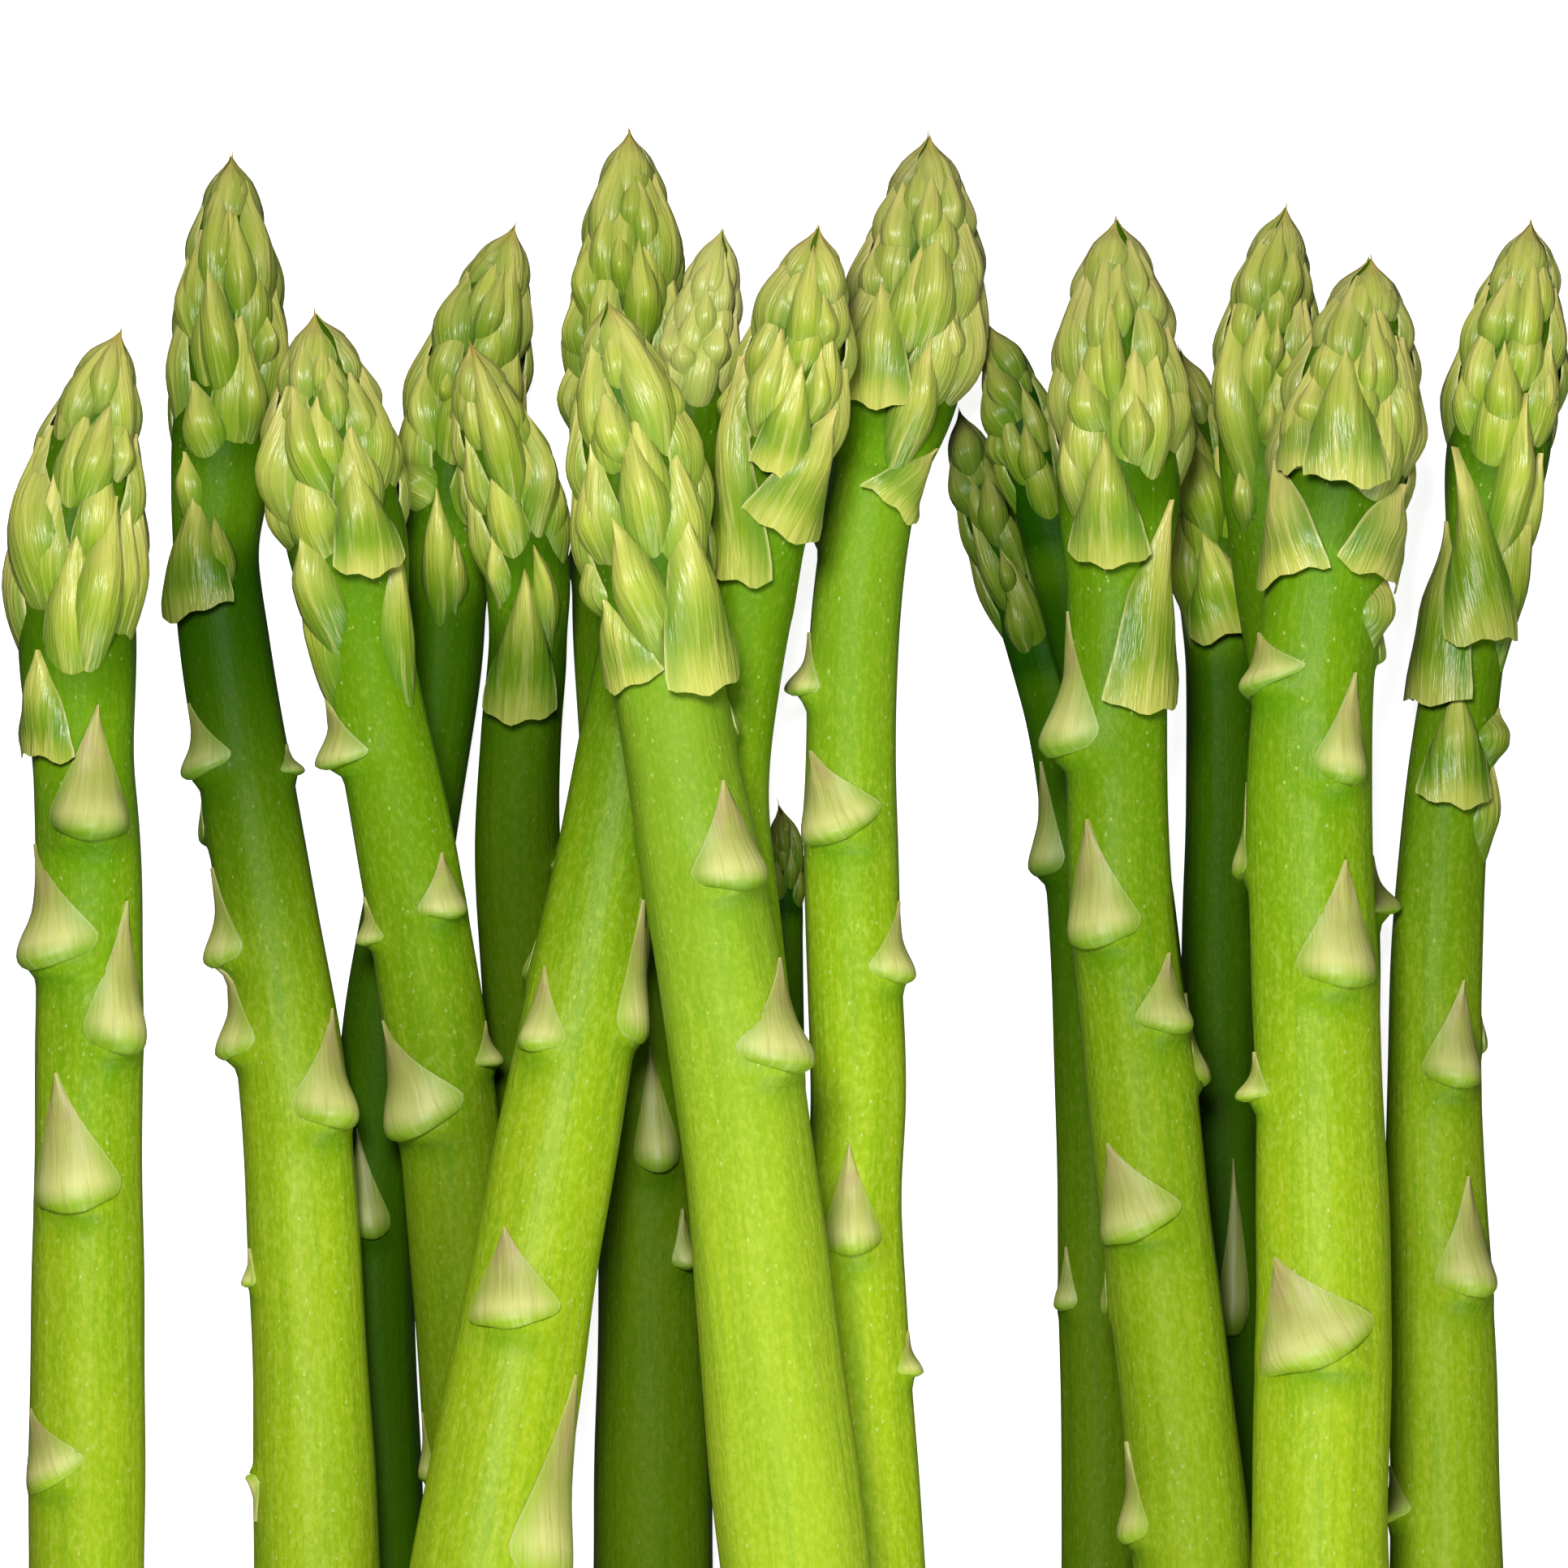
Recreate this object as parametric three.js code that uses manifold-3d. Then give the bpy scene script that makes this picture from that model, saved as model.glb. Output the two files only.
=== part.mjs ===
// A loose bunch of green asparagus, laid on a flat surface with the tips towards +Y.
//
// Every spear is one solid: a stem that tapers along a curved centre line, the pointed
// bracts on it, and a head of overlapping scales. Places across the bunch are written in
// layout millimetres: x across from the left edge, y down from just above the highest tip.
// Heights aren't written anywhere. Each spear is dropped onto those below it, as on a table.
import * as THREE from "three";
import { mergeVertices } from "three/addons/utils/BufferGeometryUtils.js";
import Module from "manifold-3d";

const ORIGIN = { x: 97, y: 127.2 }; // layout point that lies over the model's origin
const GAP = 0.5; // clearance between spears
const SINK = 0.3; // how far the lowest places press into the surface, where they go flat
const SIDES = 8;
const STATION = 2; // spacing along a centre line, where heights are worked out
const RING = 21; // spacing of the stem's rings
const HEAD_RINGS = [0, 0.1, 0.3, 0.6, 1]; // shares of the head's length
const CORE = 0.74; // the head's core, as a share of the head's radius
const SPIRAL = THREE.MathUtils.degToRad(137.5); // turn from one scale or bract to the next
const FIRST_TURN = 1.7; // turn of the whole spiral from one spear to the next, in radians
const HEAD_SCALES = 15;
const SCALE_LONGEST = 19;
const SCALE_SHARE = 0.4; // a scale's length as a share of the head's, where that is less
const TIP_SCALE = 0.34; // size of the topmost scale beside the lowest
const HIDDEN_BRACT = { length: 12, width: 8, rise: 0.8 }; // those on the sides that face away
const BRACT_SPACING = 27;
const BRACT_MARGIN = 12; // bare stem under the head and above the cut
const BRACT_ROOM = 2; // least distance from a hidden bract to the next spear
const REST_MIDDLE = 0.52; // a spear rests on both sides of this share of its length
const SURFACE = { side: 400, depth: 40 }; // the block of surface under the bunch

const STEM_COLOUR = "#86b81f";
const SHADED_COLOUR = "#4f7f17"; // of the spears at the back
const SHADED_BELOW = 12; // tip heights under which a spear counts as at the back

// path: centre line from tip to cut end. head: length and radius. stem: radius under the
// head and at the cut end. bend: how far the tip rises out of the spear's straight line.
// arch: how far its middle rises out of that line.
// scales: the loose scales low on the head, and bracts: those on the stem, each as
// [x, y, length, width, rise], where x, y is the middle of its base.
const SPEARS = {
  spear_01: {
    path: [[14.5, 40.8], [12.4, 48], [10.4, 58], [9.2, 70], [9.2, 82], [9.9, 94],
      [10.6, 108], [10.6, 140], [10.4, 193], [10.2, 236]],
    head: { length: 50, radius: 8.1 }, stem: [6.3, 7.4], bend: 0,
    scales: [[4.6, 78.5, 24, 8, 1.6], [11.9, 88, 27, 8.5, 2.4], [4.8, 93, 13, 6.5, 1.2],
      [15.6, 83, 22, 6, 1.2]],
    bracts: [[11, 104.2, 17, 9.6, 1.7], [5.8, 119.8, 15, 7.4, 1.1], [14.6, 130.2, 19, 6.8, 1],
      [9.2, 149.8, 17.5, 10.8, 0.8], [5.8, 184.5, 10, 6.4, 0.4]],
  },
  spear_02: {
    path: [[28.2, 19], [28.1, 28], [28.1, 42], [27.2, 56], [26.4, 68], [27.6, 80],
      [30.9, 100], [35.7, 130], [37.9, 160], [39.2, 193], [39.6, 234]],
    head: { length: 46, radius: 7.2 }, stem: [5.2, 7.9], bend: 0, arch: 2.5,
    scales: [[27.8, 54, 24, 7, 1.4], [25.3, 64, 12, 7.4, 1.5], [25.2, 76, 14.5, 8.4, 1.8],
      [32.2, 58, 17, 6, 1.2]],
    bracts: [[25.4, 97, 11, 5, 0.8], [35.4, 97, 5, 4, 0.5], [27.4, 121, 14, 4.6, 0.8],
      [29.2, 131.2, 12, 4.6, 0.8], [40.6, 140, 15.5, 6.4, 1.3], [30.3, 159, 5, 2.6, 0.4]],
  },
  spear_03: {
    path: [[39, 38.8], [39.8, 47], [41, 57], [43, 68], [45.4, 82], [49.2, 100], [52.6, 120],
      [55.4, 140], [57.5, 160], [59.2, 180], [60.2, 193], [62.4, 236]],
    head: { length: 36, radius: 8.3 }, stem: [5.8, 7], bend: 0,
    scales: [[38.9, 81, 18, 7.4, 1.8], [35.8, 72.5, 26, 6.4, 1.4], [45.6, 69.8, 17, 8.8, 2],
      [50.3, 84.5, 18, 4, 1]],
    bracts: [[40.6, 95, 9, 6.2, 1], [55.4, 113, 10, 6, 0.8], [45.2, 116.6, 6, 4, 0.7],
      [51.2, 140.4, 14.5, 8.4, 0.9]],
  },
  spear_04: {
    path: [[58, 42.5], [59.7, 50], [62.8, 60], [64.8, 70], [64.9, 80], [64.1, 90],
      [63.6, 103], [64.4, 118], [65.6, 135], [66.6, 152]],
    head: { length: 34, radius: 5.9 }, stem: [4.8, 5.7], bend: 5,
    scales: [[64.2, 88, 15, 7.6, 1.9], [61.6, 70, 20, 6.4, 1.2], [67.4, 74, 20, 5.4, 1]],
    bracts: [[69.4, 107.5, 6, 3, 0.6]],
  },
  spear_05: {
    path: [[63.2, 27.8], [61.4, 34], [58.6, 44], [56.2, 56], [55.2, 68], [54.3, 82],
      [51.4, 102], [47.4, 124], [46, 145], [45.9, 160], [46.6, 180], [47, 193], [48, 233]],
    head: { length: 44, radius: 7.4 }, stem: [4.9, 5.1], bend: -1,
    scales: [[51.8, 63, 12, 6.5, 1.2], [55.6, 76, 14, 7, 1.2]],
    bracts: [[45.6, 150.8, 13, 5, 0.6]],
  },
  spear_06: {
    path: [[75, 37.6], [76.4, 46], [78.4, 58], [80.6, 72], [83, 88], [87, 110], [90.5, 130],
      [93.2, 150], [95.3, 170], [98, 193], [103.4, 238]],
    head: { length: 44, radius: 8.2 }, stem: [6.8, 9.6], bend: 0,
    scales: [[76.7, 84.4, 20, 8, 1.6], [87, 84.6, 24, 8.2, 2.1], [72.6, 80.5, 21, 7, 1.3],
      [90, 87.2, 8, 4.2, 1]],
    bracts: [[91.4, 109.4, 14, 8.4, 1], [96.6, 132, 14.5, 7, 1.1]],
  },
  spear_07: {
    path: [[77.5, 16], [77.5, 24], [77.5, 36], [76.9, 48], [75.8, 60], [75.8, 75], [77.4, 100],
      [79.2, 125], [80.2, 150], [80.5, 193], [80.3, 235]],
    head: { length: 44, radius: 7.3 }, stem: [5, 7.5], bend: -1,
    scales: [[69.4, 56, 21, 6, 1.4], [72.5, 44, 16, 6, 1]],
    bracts: [[80.6, 144.8, 17, 4.6, 0.6]],
  },
  spear_08: {
    path: [[89, 28.2], [87.5, 36], [85.3, 48], [82.6, 63], [79.6, 80], [76, 100], [72.5, 120],
      [65.6, 158], [59.8, 193], [56.4, 215], [54.4, 233]],
    head: { length: 30, radius: 4.9 }, stem: [5.4, 9], bend: 1,
    scales: [[86.8, 47.5, 9, 5, 0.8]],
    bracts: [[66.4, 130, 11, 4.4, 0.7], [79, 121, 9, 4.6, 0.6], [63.4, 164.2, 12, 11, 0.6]],
  },
  spear_09: {
    path: [[95.9, 99.2], [96.4, 102], [96.7, 110], [96.8, 126], [97.4, 150], [98.6, 180],
      [99.6, 205], [101, 231]],
    head: { length: 15, radius: 2.4 }, stem: [2.2, 2.8], bend: 0,
    scales: [],
    bracts: [],
  },
  spear_10: {
    path: [[100.8, 28.4], [99.8, 35], [98.2, 44], [96, 55], [93.6, 68], [91, 82],
      [89.3, 98], [90.6, 112], [91.8, 125], [93, 140], [93.8, 155], [94.4, 175], [94.8, 193],
      [95.4, 234]],
    head: { length: 36, radius: 7.2 }, stem: [5.3, 6], bend: 3,
    scales: [[89.6, 73.5, 29, 6.4, 1.3], [97.4, 65.4, 17, 9.4, 1.8], [94.6, 56, 12, 8, 1.3],
      [101.4, 56, 12, 5, 1]],
    bracts: [],
  },
  spear_11: {
    path: [[114.5, 16.8], [114.3, 24], [112.8, 38], [110, 50], [107.2, 62], [105.4, 76],
      [104.8, 94], [105.1, 115], [105.8, 135], [105.2, 150], [106.2, 170], [107.9, 193],
      [111, 235]],
    head: { length: 40, radius: 8.4 }, stem: [5.4, 6.4], bend: 1,
    scales: [[107.2, 49.6, 14.5, 7.4, 1.8], [112.6, 60, 18, 7.4, 2.1], [110.8, 63.6, 8, 5, 1.4],
      [118.4, 51, 20, 6.4, 1.2]],
    bracts: [[99.4, 87.5, 9, 4.4, 1], [103.8, 103.8, 8, 10, 1], [110.4, 121.4, 10.5, 4.2, 0.8],
      [105, 154.8, 13.5, 6.8, 1], [112, 172.5, 8, 3, 0.6]],
  },
  spear_12: {
    path: [[118.3, 50.5], [119.8, 56], [122.6, 64], [126.2, 73], [129.6, 83], [132, 94],
      [133.6, 108], [134.6, 130], [135.2, 150], [135.8, 193], [134.4, 236]],
    head: { length: 36, radius: 4.7 }, stem: [4.4, 5], bend: 0,
    scales: [],
    bracts: [[129.2, 108, 8, 4.4, 1], [131, 164, 10, 4, 0.8]],
  },
  spear_13: {
    path: [[121.8, 40], [123.4, 44], [126, 52], [129, 62], [132.8, 76], [137, 92],
      [140.4, 110], [142.4, 130], [143.4, 150], [144.8, 193], [145.2, 232]],
    head: { length: 32, radius: 4.6 }, stem: [4.1, 4.6], bend: 0,
    scales: [],
    bracts: [],
  },
  spear_14: {
    path: [[137.5, 27.2], [137.5, 34], [137.7, 45], [137.8, 58], [137.5, 75], [137.6, 95],
      [138.2, 112], [140.2, 130], [142.4, 150], [145, 172], [147, 193], [148.6, 237]],
    head: { length: 42, radius: 8.4 }, stem: [6, 7.4], bend: 0,
    scales: [[136.4, 69.4, 22, 8.2, 1.8], [141.6, 87.6, 26, 7, 2], [130.6, 93.6, 17, 5.4, 1.4],
      [132.4, 63, 17, 6, 1.2], [140.8, 60, 14, 6.4, 1.2]],
    bracts: [[135.2, 117, 15, 8.6, 1], [143.6, 127.4, 10, 5.4, 1], [140, 153, 12.5, 10, 0.9],
      [137.8, 190, 12, 3, 0.6]],
  },
  spear_15: {
    path: [[145.6, 43], [147, 50], [148.8, 60], [150.2, 72], [150.8, 85], [151, 100],
      [150.7, 112], [150.6, 130], [151.2, 150], [151.9, 170], [152, 193], [154.4, 233]],
    head: { length: 36, radius: 5.2 }, stem: [4.4, 5.4], bend: -1,
    scales: [[149.8, 78.6, 15, 8, 1.2], [147, 66, 14, 6.4, 1]],
    bracts: [[151.9, 161.5, 18, 3.4, 0.5]],
  },
  spear_16: {
    path: [[158.5, 25.5], [157.4, 33], [156.2, 44], [155.8, 56], [157, 70], [160, 86],
      [163.2, 102], [164.6, 114], [164.6, 128], [164.4, 145], [164.6, 165], [165, 193],
      [165.6, 234]],
    head: { length: 36, radius: 6.3 }, stem: [5.1, 6.2], bend: -1,
    scales: [[152.3, 64.6, 25, 5, 1.3], [154.4, 70, 13, 4, 1]],
    bracts: [[169.4, 112, 7.5, 4, 0.7]],
  },
  spear_17: {
    path: [[168.7, 32], [168, 40], [166.3, 51], [164.3, 64], [162, 80], [161, 98],
      [161.6, 118], [162.4, 140], [162.8, 162], [162.4, 193], [165, 238]],
    head: { length: 38, radius: 8.7 }, stem: [7.3, 8.7], bend: 0,
    scales: [[164.6, 60.4, 17, 8.4, 2], [157.6, 71.4, 15, 6.2, 1.3], [169.4, 73.6, 18, 7.4, 1.8],
      [171.4, 79.2, 7, 5, 1.4]],
    bracts: [[155.2, 85.8, 8, 6.4, 0.8], [165.2, 97, 13, 6, 0.9], [165.8, 122.6, 16, 9.6, 1],
      [154.4, 136, 7, 3.6, 0.8], [162.2, 169, 13.6, 15, 1.1]],
  },
  spear_18: {
    path: [[189, 27.2], [188.2, 34], [186.6, 44], [184.8, 56], [182.6, 70], [180.2, 85],
      [178.4, 100], [177.2, 118], [176.9, 140], [177.6, 160], [178.3, 193], [178.6, 236]],
    head: { length: 38, radius: 7.1 }, stem: [4.6, 7.2], bend: 0,
    scales: [[182.4, 78.4, 23, 7.4, 2.2], [175.6, 85, 20, 6.6, 1.6], [188, 80, 26, 6.4, 1.6],
      [187.4, 94.4, 10, 4.6, 1.4], [185.2, 106, 18, 4.4, 1.2]],
    bracts: [[179.6, 99.8, 15, 7.8, 1.6], [179.2, 135, 13.5, 6.4, 1], [181, 160.6, 15, 6.4, 1],
      [171.8, 186, 5, 3, 0.6]],
  },
};

// From the surface up: each spear lies over those before it in its group.
const LAYING_ORDER = [
  "spear_05", "spear_07", "spear_01", "spear_15", "spear_16", "spear_12", "spear_18",
  "spear_09", "spear_04", "spear_02", "spear_13", "spear_11", "spear_03", "spear_08",
  "spear_10", "spear_06", "spear_14", "spear_17",
];

// Share of the head's radius at a share of its length, from 0 at the tip to 1 at its base.
function headShape(share) {
  const rounded = Math.pow(Math.sin((Math.PI / 2) * Math.min(1, share / 0.6)), 0.72);
  return 0.07 + 0.93 * rounded;
}

// Outer radius of a spear at a distance from its tip, scales and all.
function outerRadius(spear, distance) {
  const { length, radius } = spear.head;
  const [upper, lower] = spear.stem;
  const down = Math.max(0, distance - length) / (spear.total - length);
  const stem = upper + (lower - upper) * Math.min(1, down * 1.25);
  if (distance >= length * 1.12) return stem;
  const head = radius * headShape(distance / length);
  const blend = THREE.MathUtils.smoothstep(distance, length * 0.7, length * 1.12);
  return head + (stem - head) * blend;
}

// Radius of the bare stem, which runs up inside the head as its core.
function coreRadius(spear, distance) {
  const share = THREE.MathUtils.smoothstep(distance, spear.head.length * 0.62, spear.head.length);
  return outerRadius(spear, distance) * (CORE + (1 - CORE) * share);
}

// The centre line as evenly spaced stations that still lack their heights.
function stationsOf(spear) {
  const corners = spear.path.map(([x, y]) => new THREE.Vector3(x - ORIGIN.x, ORIGIN.y - y, 0));
  const line = new THREE.CatmullRomCurve3(corners, false, "centripetal");
  spear.total = line.getLength();
  const count = Math.round(spear.total / STATION);
  return line.getSpacedPoints(count);
}

// The height of the spear's own curve over its straight line: the tip's bend and the arch.
function bendAt(spear, share) {
  const free = Math.max(0, 1 - share / 0.45);
  return spear.bend * free * free + 4 * (spear.arch ?? 0) * share * (1 - share);
}

// Lowest height of each station that clears the surface and the spears already laid.
function floorUnder(spear, laid) {
  return spear.stations.map((point, i) => {
    const radius = outerRadius(spear, i * spear.step);
    let height = radius - SINK;
    for (const other of laid) {
      other.stations.forEach((below, k) => {
        const reach = radius + outerRadius(other, k * other.step) + GAP;
        const across = Math.hypot(point.x - below.x, point.y - below.y);
        if (across < reach) height = Math.max(height, below.z + Math.sqrt(reach ** 2 - across ** 2));
      });
    }
    return height - bendAt(spear, i / (spear.stations.length - 1));
  });
}

// Drops a spear until it rests at two places, one on each side of its middle.
function layDown(spear, laid) {
  spear.stations = stationsOf(spear);
  spear.step = spear.total / (spear.stations.length - 1);
  const floor = floorUnder(spear, laid);
  const middle = (floor.length - 1) * REST_MIDDLE;
  let rest = { height: -Infinity, slope: 0 };
  for (let a = 0; a <= middle; a++) {
    for (let b = Math.ceil(middle); b < floor.length; b++) {
      if (a === b) continue;
      const slope = (floor[b] - floor[a]) / (b - a);
      const height = floor[a] + slope * (middle - a);
      if (height > rest.height) rest = { height, slope };
    }
  }
  spear.stations.forEach((point, i) => {
    const share = i / (floor.length - 1);
    point.z = rest.height + rest.slope * (i - middle) + bendAt(spear, share);
  });
}

// Centre, direction towards the tip, and the sideways and upward directions at a distance.
function frameAt(spear, distance) {
  const last = spear.stations.length - 1;
  const place = THREE.MathUtils.clamp(distance / spear.step, 0, last);
  const i = Math.min(last - 1, Math.floor(place));
  const before = spear.stations[Math.max(0, i - 1)];
  const after = spear.stations[Math.min(last, i + 2)];
  const centre = new THREE.Vector3().lerpVectors(spear.stations[i], spear.stations[i + 1], place - i);
  const along = new THREE.Vector3().subVectors(before, after).normalize();
  const side = new THREE.Vector3().crossVectors(along, new THREE.Vector3(0, 0, 1)).normalize();
  const up = new THREE.Vector3().crossVectors(side, along);
  centre.addScaledVector(along, Math.max(0, -distance));
  return { centre, along, side, up };
}

// The point at a distance from the tip, an angle from the top and a radius from the centre line.
function pointOn(spear, distance, angle, radius) {
  const { centre, side, up } = frameAt(spear, distance);
  return centre
    .clone()
    .addScaledVector(side, Math.sin(angle) * radius)
    .addScaledVector(up, Math.cos(angle) * radius);
}

const wasm = await Module();
wasm.setup();

// A closed skin over rings of points, each end closed by a fan round its middle point.
function skin(rings, startPoint, endPoint) {
  const points = [startPoint, ...rings.flat(), endPoint];
  const size = rings[0].length;
  const faces = [];
  const at = (ring, k) => 1 + ring * size + (k % size);
  for (let k = 0; k < size; k++) {
    faces.push(0, at(0, k), at(0, k + 1));
    faces.push(points.length - 1, at(rings.length - 1, k + 1), at(rings.length - 1, k));
    for (let ring = 0; ring < rings.length - 1; ring++) {
      faces.push(at(ring, k), at(ring + 1, k), at(ring, k + 1));
      faces.push(at(ring, k + 1), at(ring + 1, k), at(ring + 1, k + 1));
    }
  }
  const geometry = new THREE.BufferGeometry().setFromPoints(points);
  geometry.setIndex(faces);
  return geometry;
}

// A closed geometry as a solid that can be joined and cut.
function solid(geometry) {
  geometry.deleteAttribute("normal");
  geometry.deleteAttribute("uv");
  const merged = mergeVertices(geometry, 1e-4);
  return new wasm.Manifold(
    new wasm.Mesh({
      numProp: 3,
      vertProperties: merged.attributes.position.array,
      triVerts: new Uint32Array(merged.index.array),
    }),
  );
}

// The stem, cut square at its lower end, with the slim core of the head at the other.
function stemSolid(spear) {
  const places = HEAD_RINGS.map((share) => share * spear.head.length);
  const below = spear.total - spear.head.length;
  const count = Math.round(below / RING);
  for (let i = 1; i <= count; i++) places.push(spear.head.length + (below * i) / count);
  const rings = places.map((distance) => {
    const radius = coreRadius(spear, distance) * 1.02;
    return Array.from({ length: SIDES }, (_, k) =>
      pointOn(spear, distance, ((k + 0.5) * 2 * Math.PI) / SIDES, radius),
    );
  });
  const tip = frameAt(spear, -0.9).centre;
  const cut = frameAt(spear, spear.total).centre;
  return solid(skin(rings, tip, cut));
}

// A pointed scale or bract that lies along the spear with its root inside it. Sections are
// [share of its length, share of its width, share of its rise], from the base to the point.
const SCALE_SECTIONS = [[0.36, 1, 1]];
const LOOSE_SECTIONS = [[0.08, 0.8, 1], [0.5, 0.9, 1]];
const BRACT_SECTIONS = [[0.1, 1, 1]];

function leafSolid(spear, leaf, sections) {
  const rings = sections.map(([along, wide, rise]) => {
    const distance = leaf.distance - along * leaf.length;
    const outer = leaf.surface(spear, distance);
    const half = (leaf.width * wide) / 2 / outer;
    return [
      pointOn(spear, distance, leaf.angle - half, outer * 0.98),
      pointOn(spear, distance, leaf.angle, coreRadius(spear, distance) * 0.7),
      pointOn(spear, distance, leaf.angle + half, outer * 0.98),
      pointOn(spear, distance, leaf.angle, outer + leaf.rise * rise),
    ];
  });
  const base = pointOn(spear, leaf.distance, leaf.angle, leaf.surface(spear, leaf.distance) * 0.96);
  const end = leaf.distance - leaf.length;
  const point = pointOn(spear, end, leaf.angle, leaf.surface(spear, end) + leaf.pointRise);
  return solid(skin(rings, base, point));
}

// The scales of the head, in a spiral that tightens towards the tip.
function headLeaves(spear, start) {
  const { length, radius } = spear.head;
  return Array.from({ length: HEAD_SCALES }, (_, i) => {
    const up = i / (HEAD_SCALES - 1);
    const size = 1 - (1 - TIP_SCALE) * up;
    return {
      distance: length * (1.02 - 0.86 * Math.pow(up, 0.94)),
      angle: start + i * SPIRAL,
      length: Math.min(length * SCALE_SHARE, SCALE_LONGEST) * size,
      width: radius * 1.02 * size,
      rise: radius * 0.14 * size,
      pointRise: 0,
      surface: (s, distance) => outerRadius(s, Math.max(0.4, distance)) * 0.92,
    };
  });
}

// A scale or bract whose base is given by its place in the layout.
function placedLeaf(spear, [x, y, length, width, rise]) {
  const aim = new THREE.Vector3(x - ORIGIN.x, ORIGIN.y - y, 0);
  let nearest = 0;
  let best = Infinity;
  spear.stations.forEach((point, i) => {
    const away = Math.hypot(point.x - aim.x, point.y - aim.y);
    if (away < best) {
      best = away;
      nearest = i;
    }
  });
  const distance = nearest * spear.step;
  const { centre, side } = frameAt(spear, distance);
  const radius = outerRadius(spear, distance);
  const across = aim.sub(centre).dot(side);
  return {
    distance,
    angle: Math.asin(THREE.MathUtils.clamp(across / (radius + rise * 0.4), -0.97, 0.97)),
    length,
    width,
    rise,
    pointRise: -0.1,
    surface: (s, along) => coreRadius(s, along) * 0.6 + outerRadius(s, along) * 0.4,
  };
}

// The bracts round the sides that face away, wherever the spear has room for them.
function hiddenBracts(spear, start, others) {
  const found = [];
  const first = spear.head.length + BRACT_MARGIN;
  for (let i = 0; first + i * BRACT_SPACING < spear.total - BRACT_MARGIN; i++) {
    const distance = first + i * BRACT_SPACING;
    const angle = start + i * SPIRAL;
    const leaf = { ...HIDDEN_BRACT, distance, angle, pointRise: -0.1, surface: outerRadius };
    if (Math.cos(angle) > -0.15) continue;
    const spot = pointOn(spear, distance, angle, outerRadius(spear, distance) + leaf.rise);
    if (spot.z > 0.6 && others.every((other) => clearOf(other, spot))) found.push(leaf);
  }
  return found;
}

// Whether a spot on one spear keeps well away from another spear.
function clearOf(other, spot) {
  return other.stations.every(
    (point, k) => point.distanceTo(spot) > outerRadius(other, k * other.step) + BRACT_ROOM,
  );
}

// Everything below the surface, which flattens the places that rest on it.
function belowSurface() {
  const block = new THREE.BoxGeometry(SURFACE.side, SURFACE.side, SURFACE.depth);
  block.translate(0, 0, -SURFACE.depth / 2);
  return solid(block);
}

function spearMesh(name, spear, others, start) {
  let whole = stemSolid(spear);
  const parts = [
    ...headLeaves(spear, start).map((leaf) => leafSolid(spear, leaf, SCALE_SECTIONS)),
    ...spear.scales.map((row) => leafSolid(spear, placedLeaf(spear, row), LOOSE_SECTIONS)),
    ...spear.bracts.map((row) => leafSolid(spear, placedLeaf(spear, row), BRACT_SECTIONS)),
    ...hiddenBracts(spear, start, others).map((leaf) => leafSolid(spear, leaf, BRACT_SECTIONS)),
  ];
  for (const part of parts) whole = whole.add(part);
  whole = whole.subtract(belowSurface());
  // Pockets sealed under the scales are filled by keeping the outer skin alone.
  const [outside] = whole.decompose().sort((a, b) => b.volume() - a.volume());
  const { vertProperties, triVerts } = outside.getMesh();
  const geometry = new THREE.BufferGeometry();
  geometry.setAttribute("position", new THREE.BufferAttribute(new Float32Array(vertProperties), 3));
  geometry.setIndex(new THREE.BufferAttribute(new Uint32Array(triVerts), 1));
  geometry.computeVertexNormals();
  const shaded = spear.stations[0].z < SHADED_BELOW;
  const material = new THREE.MeshStandardMaterial({
    color: shaded ? SHADED_COLOUR : STEM_COLOUR,
    roughness: 0.45,
    metalness: 0,
  });
  const mesh = new THREE.Mesh(geometry, material);
  mesh.name = name;
  return mesh;
}

const bunch = new THREE.Group();
const laid = [];
for (const name of LAYING_ORDER) {
  layDown(SPEARS[name], laid);
  laid.push(SPEARS[name]);
}
Object.entries(SPEARS).forEach(([name, spear], i) => {
  const others = laid.filter((other) => other !== spear);
  bunch.add(spearMesh(name, spear, others, i * FIRST_TURN));
});

export default bunch;
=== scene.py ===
# %% [markdown]
# # A loose bunch of green asparagus
#
# Eighteen raw green asparagus spears lie on a pale surface, tips one way, side by side and
# over each other. The camera looks straight down on them. A spear is a juicy round stem with
# small pointed bracts, and at its top the bracts crowd into a head of overlapping scales.
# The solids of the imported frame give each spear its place, its thickness and its big scales.
# Here each of them is replaced by a finer spear on the same centre line.

import math

import bmesh
import bpy
import numpy as np
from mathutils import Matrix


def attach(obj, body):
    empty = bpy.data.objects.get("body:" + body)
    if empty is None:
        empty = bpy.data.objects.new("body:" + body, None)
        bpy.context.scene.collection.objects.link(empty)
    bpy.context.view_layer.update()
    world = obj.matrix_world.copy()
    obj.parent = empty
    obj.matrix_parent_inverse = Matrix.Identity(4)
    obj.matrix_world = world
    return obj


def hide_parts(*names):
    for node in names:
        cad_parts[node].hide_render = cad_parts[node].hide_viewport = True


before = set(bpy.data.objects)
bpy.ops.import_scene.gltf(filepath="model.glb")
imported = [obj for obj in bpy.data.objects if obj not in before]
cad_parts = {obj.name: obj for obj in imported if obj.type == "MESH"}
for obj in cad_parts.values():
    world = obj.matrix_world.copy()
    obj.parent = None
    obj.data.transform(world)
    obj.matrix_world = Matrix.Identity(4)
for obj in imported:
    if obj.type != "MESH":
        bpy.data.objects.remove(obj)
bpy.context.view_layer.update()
print("solids in the frame:", len(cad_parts))

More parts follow.
